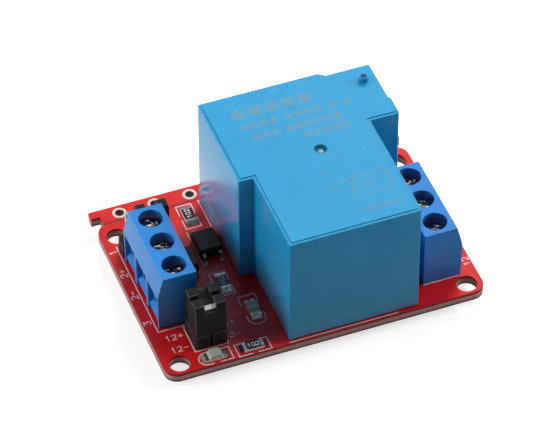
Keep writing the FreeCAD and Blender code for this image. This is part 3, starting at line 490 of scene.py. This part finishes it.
# The ceramic is chalky white on its sides, and only the glassed top is black and shiny.
glass_black, tree, shader, place = finish_named("black glass on ceramic", 0.25)
on_top = add(tree, "ShaderNodeMath", {"operation": "GREATER_THAN", 1: 0.5}, {0: upward(tree)})
chalk = add(tree, "ShaderNodeTexNoise", {"Scale": 3.0 / MM, "Detail": 2.0}, {"Vector": place})
ceramic = add(tree, "ShaderNodeMix", {"data_type": "RGBA", 6: linear("#C9C6BE"), 7: linear("#E2DFD8")},
              {0: chalk.outputs["Fac"]})
body_tone = add(tree, "ShaderNodeMix", {"data_type": "RGBA", 7: linear("#14171A")},
                {0: on_top.outputs[0], 6: ceramic.outputs[2]})
tree.links.new(body_tone.outputs[2], shader.inputs["Base Color"])
wear("resistor_bodies", glass_black)
chip_marks = []
for low, high in solids_of("resistor_bodies"):
    centre = ((low + high) / 2 - corner) / MM
    top = high[2] / MM - corner[2] / MM
    if (high - low)[1] > (high - low)[0]:
        turn, start_x, start_y = 90, centre[0] + value_half_tall, centre[1] - value_half_long
    else:
        turn, start_x, start_y = 0, centre[0] - value_half_long, centre[1] - value_half_tall
    chip_marks += [line(path, value_width, top, value_height)
                   for path in signs("102", start_x, start_y, turn, size=value_size)]
surface_piece("resistor_values", chip_marks, ink, "board")

# Matt white moulding under clear cast resin that carries a faint green haze.
lamp_base = speckled("white moulded lamp base", roughness=0.5, grains=2.5, codes=("#CFD0C4", "#E4E5DC"),
                     detail=2.0)[0]
resin, tree, shader, place = speckled("cast lamp resin", roughness=0.18, grains=0.9,
                                      codes=("#A9B8A0", "#D5DECB"), detail=2.0, ior=1.52)
shader.inputs["Transmission Weight"].default_value = 0.35
for lamp in ("power_led", "relay_led"):
    wear(lamp + "_base", lamp_base)
    wear(lamp + "_lens", resin)


# Driver parts
# Optocoupler, transistor and diode: epoxy moulded round a tinned lead frame. Their legs are bent down to the
# board and soldered.
def rounded(node, name, edge, material, body, least=0.6, highlight_finish=None):
    """Copy of a CAD node for the picture: its triangles are merged and flat faces joined; only curved faces
    are smooth, and each outer edge sharper than 30 degrees and longer than a least length in millimetres is
    rounded. The rounded faces may have a second material of their own, which paints a highlight on them."""
    sharp = math.radians(30)
    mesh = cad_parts[node].data.copy()
    mesh.name = name
    merged = bmesh.new()
    merged.from_mesh(mesh)
    bmesh.ops.remove_doubles(merged, verts=merged.verts, dist=1e-6)
    bmesh.ops.dissolve_limit(merged, angle_limit=math.radians(0.5), verts=merged.verts, edges=merged.edges)
    weight = merged.edges.layers.float.new("bevel_weight_edge")
    for side in merged.edges:
        bend = side.calc_face_angle(0)
        if side.is_convex and bend > sharp and side.calc_length() > least * MM:
            side[weight] = 1.0
        side.smooth = bend < sharp
    for face in merged.faces:
        face.smooth = any(math.radians(1) < side.calc_face_angle(0) < sharp for side in face.edges)
    merged.to_mesh(mesh)
    merged.free()
    mesh.materials.clear()
    for finish in (material, highlight_finish or material):
        mesh.materials.append(finish)
    made = bpy.data.objects.new(name, mesh)
    bpy.context.scene.collection.objects.link(made)
    bevel = made.modifiers.new("rounded edges", "BEVEL")
    bevel.width = edge * MM
    bevel.segments = 2
    bevel.limit_method = "WEIGHT"
    bevel.material = 1
    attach(made, body)
    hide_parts(node)
    return made


# The mineral filler makes the epoxy a dull, faintly grainy black, drawn coarser than real so that it shows.
epoxy = speckled("moulded black epoxy", roughness=0.45, grains=2.6, codes=("#0E1114", "#1A1E22"),
                 relief=(0.25, 0.02), specular=0.35)[0]
# The legs are stained grey in patches of half a millimetre.
dull_tin = speckled("dull tinned lead frame", roughness=0.5, grains=2.0, codes=("#4E4C4B", "#A9A8A4"),
                    metallic=1.0)[0]
for part in ("optocoupler", "driver_transistor", "flyback_diode"):
    rounded(part + "_body", part + "_case", 0.08, epoxy, "board")
    wear(part + "_leads", dull_tin)


# Pin headers and caps
# Glass-filled black polyester, moulded with a fine dull grain, on square tin-plated brass pins; each cap
# holds a bent strip of the same brass, which shows as a bright bridge in its notch.
def with_tones(material, name, codes):
    """Copy of a speckled finish under a new name, with two other colours."""
    made = material.copy()
    made.name = name
    for socket, code in zip((6, 7), codes):
        made.node_tree.nodes["tones"].inputs[socket].default_value = linear(code)
    return made


# The glass fibres give the black a ragged fleck, drawn coarser than real, and the rounded edges are painted
# grey as a painted highlight.
header_black = speckled("glass-filled black polyester", roughness=0.5, grains=2.2,
                        codes=("#101113", "#232527"), relief=(0.35, 0.03), detail=4.0, ragged=0.7,
                        specular=0.3)[0]
# Painted highlight: grey tones for the rounded edges.
highlighted = with_tones(header_black, "rubbed edges of black polyester", ("#303234", "#626466"))
for node, edge in (("selector_header_base", 0.06), ("trigger_header_base", 0.06),
                   ("selector_cap_front", 0.09), ("selector_cap_rear", 0.09), ("trigger_cap", 0.09)):
    rounded(node, node.replace("_base", "_strip") + "_moulding", edge, header_black, "board",
            highlight_finish=highlighted)

# Drawn brass keeps fine scratches along its length, which break up its shine.
pin_brass, tree, shader, place = finish_named("tin-plated brass", 0.25, metallic=1.0, colour="#F0EEE8")
drawn = add(tree, "ShaderNodeMapping", {"Scale": (4 / MM, 4 / MM, 0.3 / MM)}, {"Vector": place})
scratch = add(tree, "ShaderNodeTexNoise", {"Scale": 1.0, "Detail": 2.0}, {"Vector": drawn.outputs[0]})
dull = add(tree, "ShaderNodeMapRange", {"To Min": 0.18, "To Max": 0.38}, {0: scratch.outputs["Fac"]})
tree.links.new(dull.outputs[0], shader.inputs["Roughness"])
# The bridges of the two shaded caps are painted almost black as painted shade.
shadowed = speckled("tarnished brass", roughness=0.5, grains=2.5, codes=("#1C1B19", "#3E3C37"),
                     metallic=1.0)[0]
for node in ("selector_contact_rear", "trigger_cap_contact"):
    wear(node, shadowed)
for node in ("selector_header_pins", "trigger_header_pins", "selector_contact_front"):
    wear(node, pin_brass)


# Screw terminals
# Blue polyamide housings, moulded glossy, each over three folded nickel-plated steel cages with a clamp
# plate. The slotted screws are turned steel, nickel plated, and sink into round wells in the top.
screw_lifts = {"input": (0.6, 0.75, 0.9), "output": (0.7, 0.9, 0.9)}
screw_turns = (-30, 25, 80)
screw_head_height = 1.0
well_reach = 2.3 * MM
housing_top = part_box("input_terminal_housing")[1].z
# The melt flowed in with faint streaks a few millimetres wide, under a skin with a fine grain, drawn coarser
# than real.
terminal_blue, tree, shader, place = speckled("moulded blue polyamide", roughness=0.3, grains=0.26,
                                              codes=("#1B76C3", "#2684CE"), ior=1.53)
# The walls of the screw wells are painted in a darker tone as painted shade, deeper down more.
plan = add(tree, "ShaderNodeVectorMath", {"operation": "MULTIPLY", 1: (1.0, 1.0, 0.0)}, {0: place}).outputs[0]
nearest = None
for node in [side + "_screw_" + way for side in ("input", "output") for way in "123"]:
    low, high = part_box(node)
    axis = ((low.x + high.x) / 2, (low.y + high.y) / 2, 0.0)
    gap = add(tree, "ShaderNodeVectorMath", {"operation": "DISTANCE", 1: axis}, {0: plan}).outputs["Value"]
    if nearest:
        gap = add(tree, "ShaderNodeMath", {"operation": "MINIMUM"}, {0: nearest, 1: gap}).outputs[0]
    nearest = gap
inside = add(tree, "ShaderNodeMath", {"operation": "LESS_THAN", 1: well_reach}, {0: nearest})
height = add(tree, "ShaderNodeSeparateXYZ", links={0: place}).outputs["Z"]
sunk = add(tree, "ShaderNodeMapRange",
           {"From Min": housing_top - 0.05 * MM, "From Max": housing_top - 1.2 * MM}, {0: height})
well_shade = add(tree, "ShaderNodeMath", {"operation": "MULTIPLY"}, {0: inside.outputs[0], 1: sunk.outputs[0]})
well = add(tree, "ShaderNodeMix", {"data_type": "RGBA", 7: linear("#0B3474")},
           {0: well_shade.outputs[0], 6: tree.nodes["tones"].outputs[2]})
tree.links.new(well.outputs[2], shader.inputs["Base Color"])
grain = add(tree, "ShaderNodeTexNoise", {"Scale": 3.5 / MM, "Detail": 2.0}, {"Vector": place})
relief = add(tree, "ShaderNodeBump", {"Strength": 0.15, "Distance": 0.02 * MM},
             {"Height": grain.outputs["Fac"]})
tree.links.new(relief.outputs[0], shader.inputs["Normal"])


def turned_screw(screw, lift, turn):
    """Screw as it was left: its head stands higher by a lift in millimetres, and it is turned about its axis
    by an angle in degrees, x cos a - y sin a and x sin a + y cos a."""
    points = points_of(screw.data)
    middle = (points.min(axis=0) + points.max(axis=0))[:2] / 2
    off = points[:, :2] - middle
    angle = math.radians(turn)
    points[:, 0] = middle[0] + off[:, 0] * math.cos(angle) - off[:, 1] * math.sin(angle)
    points[:, 1] = middle[1] + off[:, 0] * math.sin(angle) + off[:, 1] * math.cos(angle)
    points[points[:, 2] > points[:, 2].max() - screw_head_height * MM, 2] += lift * MM
    screw.data.vertices.foreach_set("co", points.ravel())


# Plated steel: even in colour, duller where the folded strip was scuffed in the tool.
nickel = speckled("nickel-plated steel", roughness=0.3, grains=1.5, relief=(0.2, 0.02), gloss=(0.2, 0.5),
                  detail=4.0, metallic=1.0, colour="#C9C7C2")[0]
# The driver has scuffed the heads: dents that catch the light, drawn 0.7 mm wide, coarser than real.
screw_steel = speckled("scuffed plated steel", roughness=0.22, grains=1.5, codes=("#A8A8AA", "#F4F4F2"),
                       relief=(1.0, 0.35), detail=1.0, metallic=1.0)[0]
for side in ("input", "output"):
    rounded(side + "_terminal_housing", side + "_terminal_moulding", 0.1, terminal_blue, "board")
    wear(side + "_terminal_cages", nickel)
    for way, lift, turn in zip("123", screw_lifts[side], screw_turns):
        wear(side + "_clamp_plate_" + way, nickel)
        screw = rounded(side + "_screw_" + way, side + "_clamp_screw_" + way, 0.06, screw_steel,
                        side + "_screw_" + way, least=0.1)
        turned_screw(screw, lift, turn)


# Relay mechanism
# Soft iron yoke, core and rocker round a coil of enamelled copper on a black bobbin; silver contacts on brass
# arms. The case hides all of it.
wire_diameter = 0.15 * MM
# The iron parts are stamped from rolled strip, so their grey shine is streaked along the strip.
iron, tree, shader, place = finish_named("nickel-plated soft iron", 0.35, metallic=1.0, colour="#A9A8A6")
brushed = add(tree, "ShaderNodeMapping", {"Scale": (0.3 / MM, 3 / MM, 3 / MM)}, {"Vector": place})
scratch = add(tree, "ShaderNodeTexNoise", {"Scale": 1.0, "Detail": 3.0}, {"Vector": brushed.outputs[0]})
dull = add(tree, "ShaderNodeMapRange", {"To Min": 0.28, "To Max": 0.5}, {0: scratch.outputs["Fac"]})
tree.links.new(dull.outputs[0], shader.inputs["Roughness"])
for node in ("relay_yoke", "relay_core", "relay_armature", "relay_return_spring"):
    wear(node, iron)
for node in ("relay_coil_pins", "relay_common_contact", "relay_open_contact", "relay_closed_contact",
             "relay_contact_spring"):
    wear(node, pin_brass)
# Silver tarnishes in faint yellow clouds.
silver = speckled("silver contact alloy", roughness=0.3, grains=1.2, codes=("#DEDCD6", "#BDB8AC"),
                  metallic=1.0)[0]
wear("relay_moving_contact", silver)
# The winding shows its turns as fine ridges, dark between them. They are drawn coarser than the real turns,
# 2 pi times as wide as the wire, 0.9 mm.
copper, tree, shader, place = finish_named("enamelled copper wire", 0.3, metallic=1.0)
turns = add(tree, "ShaderNodeTexWave", {"wave_type": "BANDS", "bands_direction": "Z",
                                        "Scale": 1 / (wire_diameter * 20)}, {"Vector": place})
relief = add(tree, "ShaderNodeBump", {"Strength": 0.8, "Distance": 0.06 * MM},
             {"Height": turns.outputs["Fac"]})
tree.links.new(relief.outputs[0], shader.inputs["Normal"])
tone = add(tree, "ShaderNodeMix", {"data_type": "RGBA", 6: linear("#7E3E1C"), 7: linear("#B8683A")},
           {0: turns.outputs["Fac"]})
tree.links.new(tone.outputs[2], shader.inputs["Base Color"])
wear("relay_winding", copper)
for node in ("relay_base", "relay_bobbin"):
    wear(node, header_black)


# Copper braid
# Flat hose woven from bare copper strands. It is welded to the top of the common blade and to the contact
# spring, and its slack lets the spring rock.
braid_thickness = 0.6 * MM
braid_slack = 1.3 * MM
weld_inset = 0.6 * MM
strand_length = 0.7 * MM
strand_rise = 0.04 * MM


def braided(places, wide, thick):
    """Braid along three places, each x and z: a cubic curve rises from the first by the slack and comes down
    to the second, a flat end runs on to the third, and a ring with squared corners, wide by thick, is carried
    along. The strands stand out by sin(6 a + s) * sin(6 a - s), for the angle a round the ring and the run s
    along it."""
    (x0, z0), (x1, z1), (x2, z2) = places
    t = np.linspace(0, 1, 56)[:, None]
    curve = ((1 - t) ** 3 * (x0, z0) + 3 * t * (1 - t) ** 2 * (x0, z0 + braid_slack)
             + 3 * t ** 2 * (1 - t) * (x1 - 2 * braid_slack, z1) + t ** 3 * (x1, z1))
    flat = np.linspace(0, 1, 25)[1:, None]
    curve = np.vstack([curve, (1 - flat) * (x1, z1) + flat * (x2, z2)])
    ahead = np.gradient(curve, axis=0)
    ahead /= np.linalg.norm(ahead, axis=1)[:, None]
    run = np.concatenate([[0], np.cumsum(np.linalg.norm(np.diff(curve, axis=0), axis=1))])[:, None]
    turn = np.linspace(0, 2 * math.pi, 48, endpoint=False)
    along = math.pi * run / strand_length
    out = 1 + strand_rise * np.sin(6 * turn + along) * np.sin(6 * turn - along) / thick
    ring = np.stack([np.sign(np.cos(turn)) * np.abs(np.cos(turn)) ** 0.5 * wide / 2,
                     np.sign(np.sin(turn)) * np.abs(np.sin(turn)) ** 0.5 * thick / 2], axis=1)
    ends_shut = np.ones((len(curve), 1))
    ends_shut[[0, -1]] = 0
    across, lift = ring[:, 0] * ends_shut, ring[:, 1] * out * ends_shut
    return np.stack([curve[:, :1] - lift * ahead[:, 1:], across, curve[:, 1:] + lift * ahead[:, :1]], axis=2)


braid_low, braid_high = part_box("relay_braid")
blade_low, blade_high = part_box("relay_common_contact")
spring_low, spring_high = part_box("relay_contact_spring")
weld_height = spring_high.z + braid_thickness / 2
braid = braided(((0.5 * (blade_low.x + blade_high.x), blade_high.z), (spring_low.x + weld_inset, weld_height),
                 (braid_high.x, weld_height)), braid_high.y - braid_low.y, braid_thickness)
braid[:, :, 1] += 0.5 * (braid_low.y + braid_high.y)
# Bare copper is paler where the strands are rubbed and brown between them.
bare_copper = speckled("bare copper braid", roughness=0.38, grains=5.0, codes=("#8E5230", "#DB9468"),
                       relief=(0.6, 0.04), metallic=1.0)[0]
hose = surface_piece("contact_braid", [(braid, False, True)], bare_copper, None)
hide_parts("relay_braid")
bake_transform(hose)


# Relay case
# Light blue polyester, moulded with a fine satin grain: a wide back, a narrower front, a raised panel on the
# top, a gate dimple in its middle and a sunk corner with the stub of the vent.
case_low, case_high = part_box("relay_cover")
step_rise = 0.12 * MM
dimple_x = (case_low.x + case_high.x) / 2 - 0.05 * MM
dimple_y = (case_low.y + case_high.y) / 2 + 0.81 * MM
peg_x = case_high.x - 2.0 * MM
peg_y = case_high.y - 2.9 * MM
# The blue drifts a little in clouds about a centimetre wide.
relay_skin, tree, shader, place = speckled("satin light blue polyester", roughness=0.26, grains=0.09,
                                           codes=("#1A8BBD", "#2394C4"), specular=0.28)
# The moulded skin is smoother than the filled plastic under it, so a clear reflection lies over the satin.
shader.inputs["Coat Weight"].default_value = 0.5
shader.inputs["Coat Roughness"].default_value = 0.15
# The wall of the low step round the raised panel is painted dark as painted shade, so it shows as a thin dark
# line.
height = add(tree, "ShaderNodeSeparateXYZ", links={0: place}).outputs["Z"]
near_step = add(tree, "ShaderNodeMath",
                {"operation": "COMPARE", 1: case_high.z - step_rise / 2, 2: step_rise * 0.47}, {0: height})
wall = add(tree, "ShaderNodeMath", {"operation": "LESS_THAN", 1: 0.9}, {0: upward(tree)})
on_step = add(tree, "ShaderNodeMath", {"operation": "MULTIPLY"},
              {0: near_step.outputs[0], 1: wall.outputs[0]})
shaded = add(tree, "ShaderNodeMix", {"data_type": "RGBA", 7: linear("#14506F")},
             {0: on_step.outputs[0], 6: tree.nodes["tones"].outputs[2]})
# The gate dimple is in its own shade, and a dark spot on the vent peg is painted as the shade of an open
# vent:
# each is a round spot with a reach and a least depth in millimetres.
plan = add(tree, "ShaderNodeVectorMath", {"operation": "MULTIPLY", 1: (1.0, 1.0, 0.0)}, {0: place}).outputs[0]
for spot_x, spot_y, reach, sink, code in ((peg_x, peg_y, 0.5, 0.05, "#0B3A5C"),
                                          (dimple_x, dimple_y, 1.02, 0.01, "#17668F")):
    gap = add(tree, "ShaderNodeVectorMath", {"operation": "DISTANCE", 1: (spot_x, spot_y, 0.0)}, {0: plan})
    inside = add(tree, "ShaderNodeMath", {"operation": "LESS_THAN", 1: reach * MM}, {0: gap.outputs["Value"]})
    sunk = add(tree, "ShaderNodeMath", {"operation": "LESS_THAN", 1: case_high.z - sink * MM}, {0: height})
    both = add(tree, "ShaderNodeMath", {"operation": "MULTIPLY"}, {0: inside.outputs[0], 1: sunk.outputs[0]})
    shaded = add(tree, "ShaderNodeMix", {"data_type": "RGBA", 7: linear(code)},
                 {0: both.outputs[0], 6: shaded.outputs[2]})
tree.links.new(shaded.outputs[2], shader.inputs["Base Color"])
# Fingers leave soft smears about 3 mm wide over the grain, which is drawn coarser than real.
smear = add(tree, "ShaderNodeTexNoise", {"Scale": 0.32 / MM, "Detail": 4.0}, {"Vector": place})
gloss = add(tree, "ShaderNodeMapRange", {"To Min": 0.24, "To Max": 0.30}, {0: smear.outputs["Fac"]})
tree.links.new(gloss.outputs[0], shader.inputs["Roughness"])
grain = add(tree, "ShaderNodeTexNoise", {"Scale": 4.0 / MM, "Detail": 2.0}, {"Vector": place})
relief = add(tree, "ShaderNodeBump", {"Strength": 0.02, "Distance": 0.01 * MM},
             {"Height": grain.outputs["Fac"]})
tree.links.new(relief.outputs[0], shader.inputs["Normal"])
# The rounded edges are painted paler as a painted highlight.
highlit = with_tones(relay_skin, "polished edges of the case", ("#55B6DE", "#6FC6EA"))
rounded("relay_cover", "relay_case", 0.07, relay_skin, "board", highlight_finish=highlit)

# The gate's stub stands in the dimple as a small point, broken off when the case left its mould, and is
# painted pale as a painted highlight.
turn = np.linspace(0, 2 * math.pi, 16, endpoint=False)
stub_radius = np.array((0.0, 0.38, 0.3, 0.05, 0.0)) * MM
stub_level = case_high.z + np.array((-0.5, -0.5, -0.42, -0.12, -0.12)) * MM
stub = np.stack([dimple_x + np.outer(stub_radius, np.cos(turn)),
                 dimple_y + np.outer(stub_radius, np.sin(turn)),
                 np.repeat(stub_level[:, None], len(turn), axis=1)], axis=2)
stub_highlight = speckled("pale polyester with painted highlight", roughness=0.35, grains=4.0, codes=("#8FC9E4", "#E8F6FC"),
                detail=2.0)[0]
surface_piece("gate_stub", [(stub, False, True)], stub_highlight, "board")


# Marking on the relay
# Grey ink, stamped thin on the case: rows of plain bars, and the usual diagram of a coil and a change-over
# contact.
case_left = case_low.x / MM - corner[0] / MM
case_top = case_high.z / MM - corner[2] / MM
stamp_height = 0.008
diagram_width = 0.28
diagram = [arc(29.2, 8.6, 0.35, 30, 330), arc(29.2, 12.4, 0.35, 30, 330),
           [(29.9, 9.6), (33.2, 10.4), (37.6, 10.4), (37.6, 6.4), (33.4, 6.4)],
           [(32.0, 5.4), (32.0, 7.8), (35.0, 7.8), (35.0, 9.3), (32.0, 9.3), (32.0, 8.15)]]


def block(x, y, wide, tall):
    """Flat rectangle of ink: a ring of its four corners, drawn in to the middle below and above."""
    ring = np.array(((x, y), (x + wide, y), (x + wide, y + tall), (x, y + tall)))
    share = np.array((0.0, 1.0, 1.0, 0.0))[:, None, None]
    flat_points = ring.mean(axis=0) + (ring - ring.mean(axis=0))[None] * share
    levels = np.repeat(np.array((0, 0, stamp_height, stamp_height))[:, None], 4, axis=1) + case_top
    return corner + np.concatenate([flat_points, levels[:, :, None]], axis=2) * MM, False, True


def block_row(x, y, groups, wide, tall, gap):
    """Row of like blocks along X, in groups with a wider space between them."""
    blocks = []
    for count in groups:
        blocks += [block(x + step * (wide + gap), y, wide, tall) for step in range(count)]
        x += count * (wide + gap) + gap * 2
    return blocks


marks = block_row(case_left + 4.0, 27.6, (5,), 1.9, 1.9, 0.7)
marks += block_row(case_left + 4.4, 25.0, (4, 4, 1, 1), 1.05, 1.3, 0.45)
marks += block_row(case_left + 5.2, 22.6, (3, 6), 1.05, 1.3, 0.45)
marks += block_row(case_left + 12.7, 20.4, (5,), 1.05, 1.3, 0.45)
marks += [line(path, diagram_width, case_top, stamp_height) for path in diagram]
marks += block_row(31.4, 3.0, (8,), 0.55, 0.8, 0.25)
# The stamp's ink is thin, so the blue shows through it in patches of about half a millimetre.
stamp = speckled("grey stamping ink", roughness=0.45, grains=1.8, codes=("#66808A", "#4795BA"))[0]
surface_piece("relay_marking", marks, stamp, "board")


# Studio
# Three broad square lamps stand behind, on the left and on the right, under an even sky. Glossy surfaces
# mirror a grey room with a bright ceiling, and room and floor darken there towards the camera's side. The
# camera sees a white sky and a pale floor that keeps the object's shadow.
lamp_size = 0.4
lamp_aim = Vector((0, 0, 0.01))
floor_half = 3.0
floor_gap = 0.01 * MM
for name, stand, power in (("back lamp", (0.38, 0.52, 0.5), 6.3), ("left lamp", (-0.62, 0.2, 0.32), 4.4),
                           ("right lamp", (0.62, -0.1, 0.48), 4.4)):
    light = bpy.data.lights.new(name, "AREA")
    light.shape = "SQUARE"
    light.size = lamp_size
    light.energy = power
    made = bpy.data.objects.new(name, light)
    made.location = stand
    made.rotation_mode = "QUATERNION"
    made.rotation_quaternion = (Vector(stand) - lamp_aim).to_track_quat("Z", "Y")
    made.visible_glossy = False
    bpy.context.scene.collection.objects.link(made)

world = bpy.data.worlds.new("studio")
bpy.context.scene.world = world
world.use_nodes = True
tree = world.node_tree
tree.nodes.clear()
rays = add(tree, "ShaderNodeLightPath")
seen = add(tree, "ShaderNodeMath", {"operation": "MAXIMUM"},
           {0: rays.outputs["Is Camera Ray"], 1: rays.outputs["Is Transmission Ray"]})
way = add(tree, "ShaderNodeSeparateXYZ", links={0: add(tree, "ShaderNodeTexCoord").outputs["Generated"]})
room = add(tree, "ShaderNodeMapRange", {"From Min": -0.4, "From Max": 0.7, "To Min": 0.15, "To Max": 0.5},
           {0: way.outputs["Y"]})
ceiling = add(tree, "ShaderNodeMapRange", {"From Min": 0.8, "From Max": 0.95, "To Max": 0.9},
              {0: way.outputs["Z"]})
bright = add(tree, "ShaderNodeMath", {"operation": "ADD"}, {0: room.outputs[0], 1: ceiling.outputs[0]})
mirrored = add(tree, "ShaderNodeMix", {"data_type": "FLOAT", 2: 0.09},
               {0: rays.outputs["Is Glossy Ray"], 3: bright.outputs[0]})
sky_strength = add(tree, "ShaderNodeMix", {"data_type": "FLOAT", 3: 1.0},
                   {0: seen.outputs[0], 2: mirrored.outputs[0]})
sky = add(tree, "ShaderNodeBackground", {"Color": (1, 1, 1, 1)}, {"Strength": sky_strength.outputs[0]})
add(tree, "ShaderNodeOutputWorld", links={"Surface": sky.outputs[0]})

floor_mesh = bpy.data.meshes.new("floor")
floor_mesh.from_pydata([(-floor_half, -floor_half, 0), (floor_half, -floor_half, 0),
                        (floor_half, floor_half, 0), (-floor_half, floor_half, 0)], [], [(0, 1, 2, 3)])
floor = bpy.data.objects.new("floor", floor_mesh)
floor.location.z = -floor_gap
bpy.context.scene.collection.objects.link(floor)
floor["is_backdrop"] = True
floor_finish = bpy.data.materials.new("pale floor")
floor_finish.use_nodes = True
tree = floor_finish.node_tree
tree.nodes.clear()
rays = add(tree, "ShaderNodeLightPath")
place = add(tree, "ShaderNodeTexCoord").outputs["Object"]
forward = add(tree, "ShaderNodeSeparateXYZ", links={0: place}).outputs["Y"]
fade = add(tree, "ShaderNodeMapRange", {"From Min": -0.015, "From Max": 0.02, "To Min": 0.28, "To Max": 1.0},
           {0: forward})
matt = add(tree, "ShaderNodeBsdfDiffuse", {"Color": (0.5, 0.5, 0.5, 1)})
glow = add(tree, "ShaderNodeEmission", {"Strength": 0.7})
lifted = add(tree, "ShaderNodeAddShader", links={0: matt.outputs[0], 1: glow.outputs[0]})
shine = add(tree, "ShaderNodeEmission", links={"Strength": fade.outputs[0]})
for_camera = add(tree, "ShaderNodeMixShader",
                 links={0: rays.outputs["Is Camera Ray"], 1: matt.outputs[0], 2: lifted.outputs[0]})
mirrored = add(tree, "ShaderNodeMath", {"operation": "MAXIMUM"},
               {0: rays.outputs["Is Glossy Ray"], 1: rays.outputs["Is Transmission Ray"]})
shown = add(tree, "ShaderNodeMixShader",
            links={0: mirrored.outputs[0], 1: for_camera.outputs[0], 2: shine.outputs[0]})
add(tree, "ShaderNodeOutputMaterial", links={"Surface": shown.outputs[0]})
floor_mesh.materials.append(floor_finish)

bpy.context.scene.view_settings.view_transform = "Standard"

# Size of the dressed model, without the floor
low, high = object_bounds()
